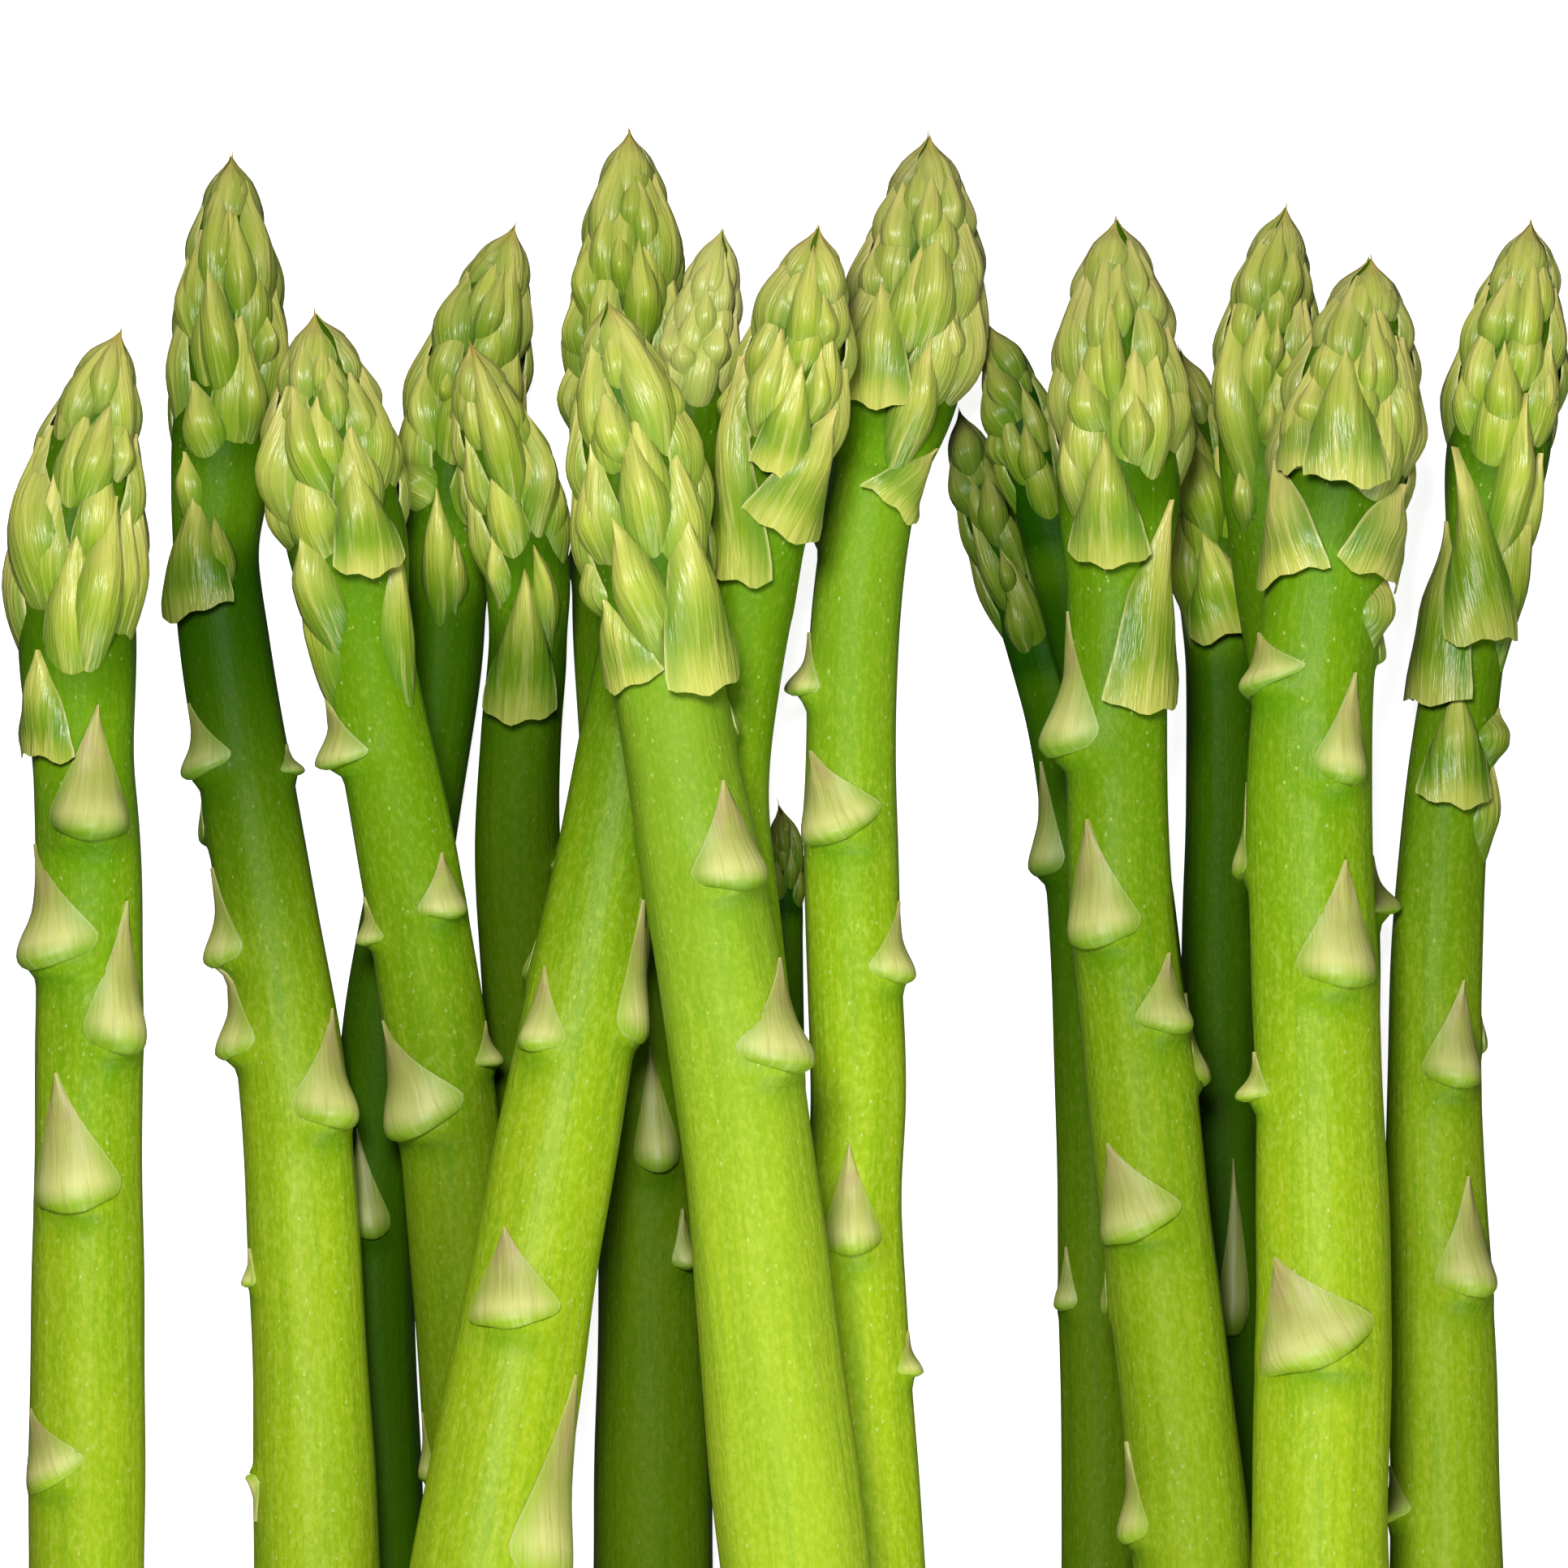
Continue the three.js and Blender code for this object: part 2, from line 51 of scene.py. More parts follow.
# %% [markdown]
# ## The spears in numbers
#
# Places are in layout millimetres, seen from above: x across from the left edge and y down
# from above the highest tip. A path is a spear's centre line from its tip to its cut end,
# head is the head's length and radius, and stem the radius under the head and at the cut.
# Bend lifts the free upper end and arch the middle, in mm. Shade is a painted shade on the head, the neck
# under it and the lower stem, where other spears keep the light from them, and below 0 a painted light
# where they lie in full light. Blush is how purple the scales are.
# A leaf is one scale or bract that the eye can pick out: its kind, the middle of its base,
# its tip, its width and how far it stands out. A scale hugs the head, a skirt is a loose
# scale with a free lower edge, and a bract is the small triangle over a bud on the stem.

# %% The table of spears
ORIGIN_X, ORIGIN_Y = 97.0, 127.2
SPEARS = {
    "spear_01": {
        "path": [(14.5, 40.8), (12.4, 48), (10.4, 58), (9.2, 70), (9.2, 82), (9.9, 94),
            (10.6, 108), (10.6, 140), (10.4, 193), (10.2, 236)],
        "head": (50, 8.1), "stem": (6.3, 7.4), "bend": 0, "arch": 0,
        "shade": (0, 0.1, 0.14), "blush": 0.35,
        "leaves": [
            ("scale", 6.2, 57.2, 13, 41.7, 5.5, 1), ("scale", 16.8, 60, 15, 41.2, 4.5, 0.9),
            ("scale", 11.8, 53, 14.2, 41.2, 5.2, 1.2), ("scale", 15, 61.4, 15.3, 51.2, 3.6, 1.3),
            ("scale", 9.2, 65.5, 13.7, 49.8, 7, 1.6), ("scale", 16.5, 85, 17.4, 60, 3.6, 1.1),
            ("scale", 4.6, 79.5, 4.2, 53.6, 7.2, 1.8), ("scale", 11.2, 87.8, 14.1, 61, 7.6, 2.6),
            ("skirt", 4.4, 93.4, 4.2, 80, 6.6, 1.5), ("bract", 10.8, 104.2, 12.2, 86.8, 9.8, 2.6),
            ("bract", 5.5, 120, 3.8, 104, 7.6, 1.9), ("bract", 14.7, 130.5, 15.6, 111, 7, 1.8),
            ("bract", 9, 150, 6.8, 132.2, 11.4, 1.1), ("bract", 5.8, 184, 3.3, 173.8, 6.6, 0.6),],
    },
    "spear_02": {
        "path": [(28.2, 19), (28.1, 28), (28.1, 42), (27.2, 56), (26.4, 68), (27.6, 80),
            (30.9, 100), (35.7, 130), (37.9, 160), (39.2, 193), (39.6, 234)],
        "head": (46, 7.2), "stem": (5.2, 7.9), "bend": 0, "arch": 2.5,
        "shade": (0.2, 0.95, 0.11), "blush": 0.3,
        "leaves": [
            ("scale", 25, 42, 27.4, 21.2, 4.8, 1), ("scale", 33.5, 43.2, 30, 22.2, 5.2, 1.1),
            ("scale", 27, 37.2, 27.7, 25.6, 2.6, 1.1), ("scale", 22.5, 45.5, 22.2, 31.5, 3.6, 0.9),
            ("scale", 30.5, 43.2, 28.8, 26, 5.2, 1.5), ("scale", 33.5, 48.2, 32.5, 38.1, 3.2, 1.2),
            ("scale", 31.8, 58, 30.3, 42.8, 5.2, 1.7), ("scale", 28.4, 54.8, 25.4, 31.8, 5.8, 2.1),
            ("scale", 26.2, 59.6, 23.2, 47.4, 6.6, 1.3), ("scale", 23.2, 66, 22.2, 56, 4, 1),
            ("skirt", 24, 76.2, 23.6, 61.2, 8.4, 2.4), ("scale", 28.5, 73.5, 26.2, 64, 4.6, 1.4),
            ("bract", 25, 96.6, 23.2, 86.8, 5, 1.4), ("bract", 36.2, 96.2, 35.2, 91.8, 2.6, 0.8),
            ("bract", 26.4, 120, 25.4, 107.2, 4.6, 1.4), ("bract", 28.7, 131.2, 26.8, 119, 5, 1.4),
            ("bract", 41, 140, 41, 124.4, 6.6, 1.9), ("bract", 29.7, 159.2, 29.6, 154, 1.8, 0.5),
            ("bract", 31.2, 182.2, 29.3, 187.6, 1.3, 0.9),],
    },
    "spear_03": {
        "path": [(39, 38.8), (39.8, 47), (41, 57), (43, 68), (45.4, 82), (49.2, 100), (52.6, 120),
            (55.4, 140), (57.5, 160), (59.2, 180), (60.2, 193), (62.4, 236)],
        "head": (36, 8.3), "stem": (5.8, 7), "bend": 0, "arch": 0,
        "shade": (0.04, 0.16, 0.56), "blush": 0.4,
        "leaves": [
            ("scale", 47.8, 64.5, 45.2, 45.2, 5, 1), ("scale", 42.5, 54.8, 40.2, 43.8, 4.6, 1.2),
            ("scale", 37.2, 52, 38, 40.2, 4.2, 0.9), ("scale", 39.5, 50, 39.8, 42, 3.4, 0.9),
            ("scale", 34, 72.2, 31.6, 56.6, 4.4, 1), ("scale", 41.4, 64.5, 36.2, 46.6, 6.2, 1.8),
            ("scale", 35, 70, 35.6, 47.4, 5, 2.2), ("scale", 40.5, 88.4, 35.2, 71.6, 5, 1.1),
            ("scale", 51.2, 86.8, 49.4, 65.5, 4.6, 1.2),
            ("skirt", 45.6, 69.9, 43.6, 55.2, 7.6, 2.6),
            ("scale", 40.6, 81.5, 36.8, 64.6, 6.4, 2.4),
            ("bract", 40.4, 95.2, 37.2, 86.4, 6.4, 1.5),
            ("bract", 55.3, 113.2, 54.5, 104.6, 5.8, 1),
            ("bract", 45, 116.8, 43.6, 110.6, 3.6, 0.9),
            ("bract", 51.1, 140.2, 47, 125.6, 8.6, 1.4),
            ("bract", 60.7, 131.8, 59.7, 125.6, 3.4, 0.8), ("bract", 52, 183, 51.2, 174, 2.6, 0.5),],
    },
    "spear_04": {
        "path": [(58, 42.5), (59.7, 50), (62.8, 60), (64.8, 70), (64.9, 80), (64.1, 90),
            (63.6, 103), (64.4, 118), (65.6, 135), (66.6, 152)],
        "head": (34, 5.9), "stem": (4.8, 5.7), "bend": 5, "arch": 0,
        "shade": (0.12, 0.85, 0.85), "blush": 0.25,
        "leaves": [
            ("scale", 64, 56, 61, 45.2, 5, 0.8), ("scale", 69, 70, 68.4, 54.6, 3, 1),
            ("scale", 66.5, 68.4, 64.8, 50, 4.6, 1.5), ("scale", 63.8, 65.5, 58.2, 41.8, 6.4, 1.8),
            ("scale", 68.4, 80, 65.6, 66, 3.8, 1), ("scale", 61.2, 76, 60.3, 65, 3.4, 0.9),
            ("skirt", 64.3, 87.8, 64.2, 69, 7.8, 2.2),
            ("bract", 69.6, 107.2, 69.6, 103.8, 2.6, 0.7),],
    },
    "spear_05": {
        "path": [(63.2, 27.8), (61.4, 34), (58.6, 44), (56.2, 56), (55.2, 68), (54.3, 82),
            (51.4, 102), (47.4, 124), (46, 145), (45.9, 160), (46.6, 180), (47, 193), (48, 233)],
        "head": (44, 7.4), "stem": (4.9, 5.1), "bend": -1, "arch": 0,
        "shade": (0.15, 0.85, 0.95), "blush": 0.3,
        "leaves": [
            ("scale", 54.8, 47.8, 57.4, 33.2, 5.2, 1.1),
            ("scale", 62.8, 51.2, 63.4, 29.8, 4.6, 1.1),
            ("scale", 58.8, 45.5, 62.2, 32.2, 4.6, 1.4),
            ("scale", 52.5, 59.2, 52.3, 43.6, 4.2, 1.3), ("scale", 55.1, 51.2, 55, 45.4, 2.6, 1.4),
            ("scale", 56.2, 54.8, 56.7, 47.8, 3.4, 1.2), ("scale", 54.5, 63, 48.6, 56.6, 5.2, 1.6),
            ("scale", 57.5, 64, 59.2, 54, 4.4, 1.1), ("scale", 54, 78.4, 53.6, 60, 5.6, 1.1),
            ("scale", 56.2, 76, 56, 66, 4, 1.1), ("bract", 45.7, 153.2, 44, 139, 4.8, 0.9),],
    },
    "spear_06": {
        "path": [(75, 37.6), (76.4, 46), (78.4, 58), (80.6, 72), (83, 88), (87, 110), (90.5, 130),
            (93.2, 150), (95.3, 170), (98, 193), (103.4, 238)],
        "head": (44, 8.2), "stem": (6.8, 9.6), "bend": 0, "arch": 0,
        "shade": (-0.04, -0.1, -0.08), "blush": 0.12,
        "leaves": [
            ("scale", 73.6, 60.4, 73.2, 41.8, 5, 1), ("scale", 85.2, 54.5, 82.2, 44.8, 4.2, 1.1),
            ("scale", 88, 65.2, 84.8, 46.8, 5.2, 1), ("scale", 84.6, 60.6, 75.7, 37.8, 7.4, 1.5),
            ("scale", 77.2, 59.8, 74.2, 47.6, 5.8, 1.6),
            ("scale", 73.6, 73.2, 72.2, 57.5, 4.8, 1.3),
            ("scale", 73.5, 79.2, 71.2, 68.8, 4.4, 1.1),
            ("scale", 81.6, 71.8, 77.5, 52.4, 7.8, 2.1),
            ("skirt", 76.6, 84.6, 74.4, 73.8, 6.8, 1.3), ("scale", 82, 83.2, 75.5, 63.6, 8, 2.5),
            ("skirt", 87.6, 84.6, 84, 61.4, 8, 2.9), ("bract", 91.3, 109.8, 89.3, 95.8, 9.2, 1.7),
            ("bract", 97, 132.2, 96.9, 117.6, 7.2, 1.9),],
    },
    "spear_07": {
        "path": [(77.5, 16), (77.5, 24), (77.5, 36), (76.9, 48), (75.8, 60), (75.8, 75),
            (77.4, 100), (79.2, 125), (80.2, 150), (80.5, 193), (80.3, 235)],
        "head": (44, 7.3), "stem": (5, 7.5), "bend": -1, "arch": 0,
        "shade": (0.1, 0.5, 0.8), "blush": 0.25,
        "leaves": [
            ("scale", 72.6, 35.2, 76.4, 17.2, 5.4, 1), ("scale", 83.2, 40.4, 80.6, 21.2, 5.4, 1.1),
            ("scale", 77.5, 30.4, 78, 21.2, 4.2, 1), ("scale", 80.4, 34.4, 78.7, 21.2, 4.2, 1.1),
            ("scale", 73.6, 40.4, 75.2, 22.4, 4.4, 1.3),
            ("scale", 76.8, 38.4, 76.3, 27.4, 3.8, 1.6),
            ("scale", 72.2, 42.4, 72.2, 28.8, 4.2, 1.4), ("scale", 79.8, 45.5, 78.8, 29.2, 5.8, 2),
            ("scale", 69, 48, 70, 35.2, 4, 1.1), ("scale", 69, 56.2, 69, 44, 4.4, 1.2),
            ("scale", 72.8, 56, 74.2, 42, 4.4, 1.3), ("bract", 81.2, 145, 80, 128.8, 5.6, 1.1),
            ("bract", 84.6, 157, 84, 149, 3, 0.8),],
    },
    "spear_08": {
        "path": [(89, 28.2), (87.5, 36), (85.3, 48), (82.6, 63), (79.6, 80), (76, 100),
            (72.5, 120), (65.6, 158), (59.8, 193), (56.4, 215), (54.4, 233)],
        "head": (30, 4.9), "stem": (5.4, 9), "bend": 1, "arch": 0,
        "shade": (-0.12, 0.5, 0.06), "blush": 1,
        "leaves": [
            ("scale", 87.2, 39.8, 88.8, 30, 3.6, 0.7), ("scale", 84.8, 40, 88, 30.6, 3.6, 0.8),
            ("scale", 89.3, 43, 89.3, 31.2, 3.6, 0.7), ("scale", 87, 44, 87.2, 35.2, 3.6, 0.9),
            ("scale", 82.6, 47, 82.4, 39.8, 3.6, 0.9), ("scale", 84.5, 47.8, 83.8, 41.8, 4.2, 1.2),
            ("scale", 88, 48, 89, 39.6, 4.4, 1.1), ("bract", 65.9, 130.6, 67.2, 119.4, 5.2, 1.2),
            ("bract", 79, 129.2, 79.3, 111.2, 4.6, 0.8),
            ("bract", 63, 164.6, 62.2, 151.6, 11.6, 0.9),
            ("bract", 71.2, 196.5, 70.8, 169.4, 8.8, 1),],
    },
    "spear_09": {
        "path": [(95.9, 99.2), (96.4, 102), (96.7, 110), (96.8, 126), (97.4, 150), (98.6, 180),
            (99.6, 205), (101, 231)],
        "head": (15, 2.4), "stem": (2.2, 2.8), "bend": 0, "arch": 0,
        "shade": (0.7, 0.7, 0.85), "blush": 0.1,
        "leaves": [
            ("scale", 97.2, 107.5, 95.8, 100, 2.2, 0.5),
            ("scale", 95.8, 104.5, 97.2, 100, 1.8, 0.5),],
    },
    "spear_10": {
        "path": [(100.8, 28.4), (99.8, 35), (98.2, 44), (96, 55), (93.6, 68), (91, 82), (89.3, 98),
            (90.6, 112), (91.8, 125), (93, 140), (93.8, 155), (94.4, 175), (94.8, 193), (95.4, 234)],
        "head": (36, 7.2), "stem": (5.3, 6), "bend": 3, "arch": 0,
        "shade": (0, 0.2, 0.02), "blush": 0.4,
        "leaves": [
            ("scale", 92, 44.2, 97.5, 30.8, 6.2, 1), ("scale", 104.2, 40.2, 101.5, 28.8, 5.2, 1),
            ("scale", 98.5, 47.4, 100.3, 30.2, 5.6, 1.3),
            ("scale", 102.5, 44.5, 101.5, 35.4, 4.2, 1.2),
            ("scale", 92.5, 56.5, 96.1, 40, 5.8, 1.6), ("scale", 87, 54.5, 88.4, 45.6, 3.4, 1.3),
            ("skirt", 95.8, 57.8, 99.2, 44, 7, 1.7), ("scale", 100.8, 54.2, 101.5, 42.4, 3.4, 1.3),
            ("skirt", 90.5, 71.2, 90.6, 43.7, 6, 2.1), ("skirt", 96.2, 65, 103, 50, 8, 2.3),
            ("skirt", 92.6, 70.6, 94, 65.8, 3.4, 1),],
    },
    "spear_11": {
        "path": [(114.5, 16.8), (114.3, 24), (112.8, 38), (110, 50), (107.2, 62), (105.4, 76),
            (104.8, 94), (105.1, 115), (105.8, 135), (105.2, 150), (106.2, 170), (107.9, 193),
            (111, 235)],
        "head": (40, 8.4), "stem": (5.4, 6.4), "bend": 1, "arch": 0,
        "shade": (0.08, -0.05, 0.01), "blush": 0.65,
        "leaves": [
            ("scale", 110, 35.2, 111.2, 22.2, 4.6, 1.1),
            ("scale", 117.5, 31.2, 116.5, 19.6, 4.2, 0.9),
            ("scale", 113.5, 32.4, 114.8, 20.8, 4.6, 1.3),
            ("scale", 120, 42.4, 119, 25.8, 4.4, 0.9), ("scale", 106, 40.2, 108.2, 28.6, 4.2, 0.9),
            ("scale", 117.6, 48, 117, 37.6, 4.4, 1.2), ("scale", 112.4, 47.4, 116, 26.6, 7.8, 1.7),
            ("scale", 117.6, 54.5, 120.6, 34.8, 5.8, 1.5),
            ("skirt", 107.4, 49.4, 108.6, 34.6, 8.4, 2.3),
            ("scale", 110.2, 60, 115, 40.7, 7.2, 2.2), ("skirt", 110, 62.6, 115.8, 55.2, 5.4, 1.7),
            ("bract", 98.6, 86.2, 99.2, 77.8, 3.4, 1.4),
            ("bract", 103.4, 104, 99.8, 92.4, 10.4, 1.4),
            ("bract", 110.7, 121.6, 110.8, 111, 4.6, 1.2),
            ("bract", 105, 155, 104.8, 140.8, 7.2, 1.5),
            ("bract", 112.4, 170.2, 111.8, 164, 3, 0.8),],
    },
    "spear_12": {
        "path": [(118.3, 50.5), (119.8, 56), (122.6, 64), (126.2, 73), (129.6, 83), (132, 94),
            (133.6, 108), (134.6, 130), (135.2, 150), (135.8, 193), (134.4, 236)],
        "head": (36, 4.7), "stem": (4.4, 5), "bend": 0, "arch": 0,
        "shade": (0.78, 0.86, 0.78), "blush": 0.1,
        "leaves": [
            ("scale", 120, 60.4, 118, 50.6, 5.6, 1.2), ("scale", 119.6, 65.2, 117.2, 56, 3.4, 0.9),
            ("scale", 123.2, 69, 121.5, 58, 5.2, 1.2), ("scale", 125, 75.2, 123.3, 67.8, 3, 1),
            ("scale", 126.2, 83, 124.5, 72, 4.4, 1), ("bract", 128.3, 108.5, 128.3, 93.8, 4, 1.1),
            ("bract", 131.2, 162.2, 131.5, 153.8, 2.6, 0.6),],
    },
    "spear_13": {
        "path": [(121.8, 40), (123.4, 44), (126, 52), (129, 62), (132.8, 76), (137, 92),
            (140.4, 110), (142.4, 130), (143.4, 150), (144.8, 193), (145.2, 232)],
        "head": (32, 4.6), "stem": (4.1, 4.6), "bend": 0, "arch": 0,
        "shade": (0.6, 0.95, 0.7), "blush": 0.1,
        "leaves": [
            ("scale", 127.6, 48.4, 122.2, 39.8, 5, 1),
            ("scale", 126.2, 52.4, 121.7, 43.8, 4.8, 1.3), ("scale", 124, 56, 120.8, 47, 4.2, 1.1),
            ("scale", 128, 62, 126.2, 52, 4.4, 1), ("scale", 122.6, 60, 121.2, 52, 3.6, 0.9),],
    },
    "spear_14": {
        "path": [(137.5, 27.2), (137.5, 34), (137.7, 45), (137.8, 58), (137.5, 75), (137.6, 95),
            (138.2, 112), (140.2, 130), (142.4, 150), (145, 172), (147, 193), (148.6, 237)],
        "head": (42, 8.4), "stem": (6, 7.4), "bend": 0, "arch": 0,
        "shade": (0.06, 0.25, 0.37), "blush": 0.6,
        "leaves": [
            ("scale", 131.6, 54.5, 133.6, 32.6, 4.8, 1),
            ("scale", 135, 50.6, 136.4, 29.8, 4.2, 1.2),
            ("scale", 140.5, 40.4, 139.2, 29.8, 3.6, 1.1),
            ("scale", 142.6, 43.4, 141.4, 32.8, 3.8, 1), ("scale", 138.8, 44, 137.8, 33, 3.4, 1.2),
            ("scale", 145.6, 60.4, 144.5, 42.8, 4.6, 0.9),
            ("scale", 137.2, 54.8, 136.6, 35.6, 4, 1.7),
            ("scale", 142.5, 64.2, 141.8, 41.6, 5.4, 1.4),
            ("scale", 132.8, 69, 131.2, 49.8, 4.2, 1.1),
            ("scale", 141, 59.8, 139.4, 47.5, 5.6, 2.1), ("scale", 134.5, 57.4, 133, 44.6, 6, 2),
            ("skirt", 136.1, 69.7, 135.8, 54, 8.6, 2.4),
            ("skirt", 141.6, 87.6, 144.7, 61.8, 7.2, 2),
            ("bract", 130.9, 94, 130.3, 75.4, 5.8, 1.9),
            ("bract", 135.3, 117.4, 133.7, 101, 9.2, 1.5),
            ("bract", 144, 128, 144, 117.4, 6.2, 1.7),
            ("bract", 140.2, 153.2, 136.2, 140.8, 10.6, 1.3),
            ("bract", 138, 190.5, 137.8, 177.5, 4.4, 1),],
    },
    "spear_15": {
        "path": [(145.6, 43), (147, 50), (148.8, 60), (150.2, 72), (150.8, 85), (151, 100),
            (150.7, 112), (150.6, 130), (151.2, 150), (151.9, 170), (152, 193), (154.4, 233)],
        "head": (36, 5.2), "stem": (4.4, 5.4), "bend": -1, "arch": 0,
        "shade": (0.12, 0.85, 0.95), "blush": 0.1,
        "leaves": [
            ("scale", 147.5, 60, 145.2, 48, 4.4, 1), ("scale", 150, 69.4, 146.2, 53, 7.6, 2),
            ("scale", 146.2, 80, 144.8, 61.8, 4.4, 1.5), ("skirt", 152, 78.4, 148.2, 65.6, 9.2, 2),
            ("bract", 151.8, 165.2, 152.2, 142.8, 4, 0.8),],
    },
    "spear_16": {
        "path": [(158.5, 25.5), (157.4, 33), (156.2, 44), (155.8, 56), (157, 70), (160, 86),
            (163.2, 102), (164.6, 114), (164.6, 128), (164.4, 145), (164.6, 165), (165, 193),
            (165.6, 234)],
        "head": (36, 6.3), "stem": (5.1, 6.2), "bend": -1, "arch": 0,
        "shade": (0.15, 0.5, 0.6), "blush": 0.45,
        "leaves": [
            ("scale", 153.2, 42.4, 156, 28.2, 4.8, 1), ("scale", 155.6, 40.5, 158, 27.2, 4.8, 1.2),
            ("scale", 158.2, 40.4, 159.5, 29.8, 4.2, 1.2),
            ("scale", 160.6, 48.4, 161, 36.8, 3.4, 1),
            ("scale", 156.5, 47.4, 157.5, 39.8, 3.4, 1.3),
            ("scale", 159, 48.8, 158.6, 42.8, 3.2, 1.3),
            ("scale", 156, 56.4, 156.8, 47.8, 3.6, 1.2),
            ("scale", 153.8, 64, 152.4, 37.4, 5.6, 1.9), ("scale", 153, 66, 152.7, 57, 3.4, 1.1),
            ("bract", 170.8, 113.2, 170.5, 105.2, 5, 1.4),],
    },
    "spear_17": {
        "path": [(168.7, 32), (168, 40), (166.3, 51), (164.3, 64), (162, 80), (161, 98),
            (161.6, 118), (162.4, 140), (162.8, 162), (162.4, 193), (165, 238)],
        "head": (38, 8.7), "stem": (7.3, 8.7), "bend": 0, "arch": 0,
        "shade": (0.02, 0.04, 0.04), "blush": 0.6,
        "leaves": [
            ("scale", 164, 50.6, 166.8, 34.2, 6.2, 1.1),
            ("scale", 171.2, 54.5, 169, 37.8, 5.4, 1.2),
            ("scale", 173.2, 64.5, 171.8, 41.8, 4.6, 1), ("scale", 168, 52.4, 168.4, 41, 3.4, 1.7),
            ("scale", 160, 56, 161.6, 46.6, 4.6, 1.2), ("skirt", 159.1, 58.3, 160, 47.6, 4.8, 1.3),
            ("skirt", 165, 60.2, 165.8, 43, 9, 2.9), ("skirt", 169.2, 71.6, 173, 60, 7.4, 1.8),
            ("scale", 170.6, 80.2, 171.4, 71.2, 4.8, 1.6),
            ("skirt", 158.6, 71.6, 155.6, 56.8, 6.4, 1.8), ("bract", 155.1, 86, 153.8, 78, 7, 1.2),
            ("bract", 165, 97.5, 166.8, 83.2, 6.4, 1.5),
            ("bract", 165.2, 122.5, 165.5, 106.2, 10, 1.6),
            ("bract", 153.4, 136.2, 153.2, 129.6, 3.8, 1.2),
            ("bract", 162.2, 169, 156.7, 154.8, 16, 1.5),],
    },
    "spear_18": {
        "path": [(189, 27.2), (188.2, 34), (186.6, 44), (184.8, 56), (182.6, 70), (180.2, 85),
            (178.4, 100), (177.2, 118), (176.9, 140), (177.6, 160), (178.3, 193), (178.6, 236)],
        "head": (38, 7.1), "stem": (4.6, 7.2), "bend": 0, "arch": 0,
        "shade": (0.02, 0.55, 0.36), "blush": 0.35,
        "leaves": [
            ("scale", 182, 45.8, 186.2, 33.8, 4.8, 1.1),
            ("scale", 187.5, 50.4, 189.2, 30.8, 5, 1.1),
            ("scale", 180.6, 56.4, 180.5, 44.8, 3.8, 1), ("scale", 190, 56, 191.2, 44, 4, 0.9),
            ("scale", 184.5, 57.4, 185.6, 42.2, 6.2, 1.6),
            ("scale", 185.2, 72.2, 188.4, 48.7, 5.8, 2),
            ("scale", 187.2, 83.2, 189.3, 59.4, 4.8, 1.7),
            ("scale", 191.5, 75.2, 190.5, 56, 4.4, 1.3), ("skirt", 175.2, 86.6, 177, 64, 6.8, 2),
            ("skirt", 183.4, 79.4, 179, 55.2, 7, 2.9), ("scale", 188, 95.5, 187.2, 87.6, 5, 1.6),
            ("scale", 185.2, 107.2, 187.6, 94, 4, 1.3), ("skirt", 179.7, 99.4, 179.5, 84, 8.2, 2),
            ("bract", 179.3, 135, 180.5, 121, 7, 1.9),
            ("bract", 181.2, 160.8, 181.2, 145.2, 7.2, 1.9),
            ("bract", 171.6, 188.2, 170.6, 180.8, 3.6, 1),],
    },
}
LAYING_ORDER = [5, 7, 1, 15, 16, 12, 18, 9, 4, 2, 13, 11, 3, 8, 10, 6, 14, 17]
print("spears:", len(SPEARS), "leaves:", sum(len(row["leaves"]) for row in SPEARS.values()))

# %% [markdown]
# ## Centre lines
#
# A spear grows towards the light and bends on its way, so its centre line is one smooth
# curve. It could be drawn as a curve object, which needs two handles at every point. The one
# here passes through its points without handles, and without loops, because the root of the
# distance between two points sets its pace. Its heights come from laying the spears down one
# by one: each is lowered until it rests at two places, on the surface or on those below it.

# %% A smooth curve through points
def smooth_line(points, pieces):
    """A smooth line through all points, with so many pieces between each two."""
    p = np.asarray(points, float)
    p = np.vstack([2 * p[0] - p[1], p, 2 * p[-1] - p[-2]])
    t = np.linspace(0, 1, pieces, endpoint=False)[:, None]
    rows = []
    for i in range(1, len(p) - 2):
        a, b, c, d = p[i - 1 : i + 3]
        t0, t1, t2 = (max(np.linalg.norm(q - r) ** 0.5, 1e-4) for q, r in ((b, a), (c, b), (d, c)))
        m1 = ((b - a) / t0 - (c - a) / (t0 + t1) + (c - b) / t1) * t1
        m2 = ((c - b) / t1 - (d - b) / (t1 + t2) + (d - c) / t2) * t1
        rows.append(
            b + m1 * t + (3 * c - 3 * b - 2 * m1 - m2) * t**2 + (2 * b - 2 * c + m1 + m2) * t**3
        )
    rows.append(p[-2:-1])
    return np.vstack(rows)


def smooth_step(x, low, high):
    """0 up to low, 1 from high, and a soft rise between them."""
    share = np.clip((np.asarray(x, float) - low) / (high - low), 0, 1)
    return share * share * (3 - 2 * share)


# %% The radius along a spear
# Shares of the head's length: where it is full, and where it starts and ends to become the
# stem. Shares of its radius: at the very tip, and what the rounded part adds to that.
HEAD_FULL, NECK_START, NECK_END = 0.6, 0.7, 1.12
TIP_SHARE, REST_SHARE = 0.07, 0.93
HEAD_ROUNDNESS = 0.72
TAPER_RATE = 1.25


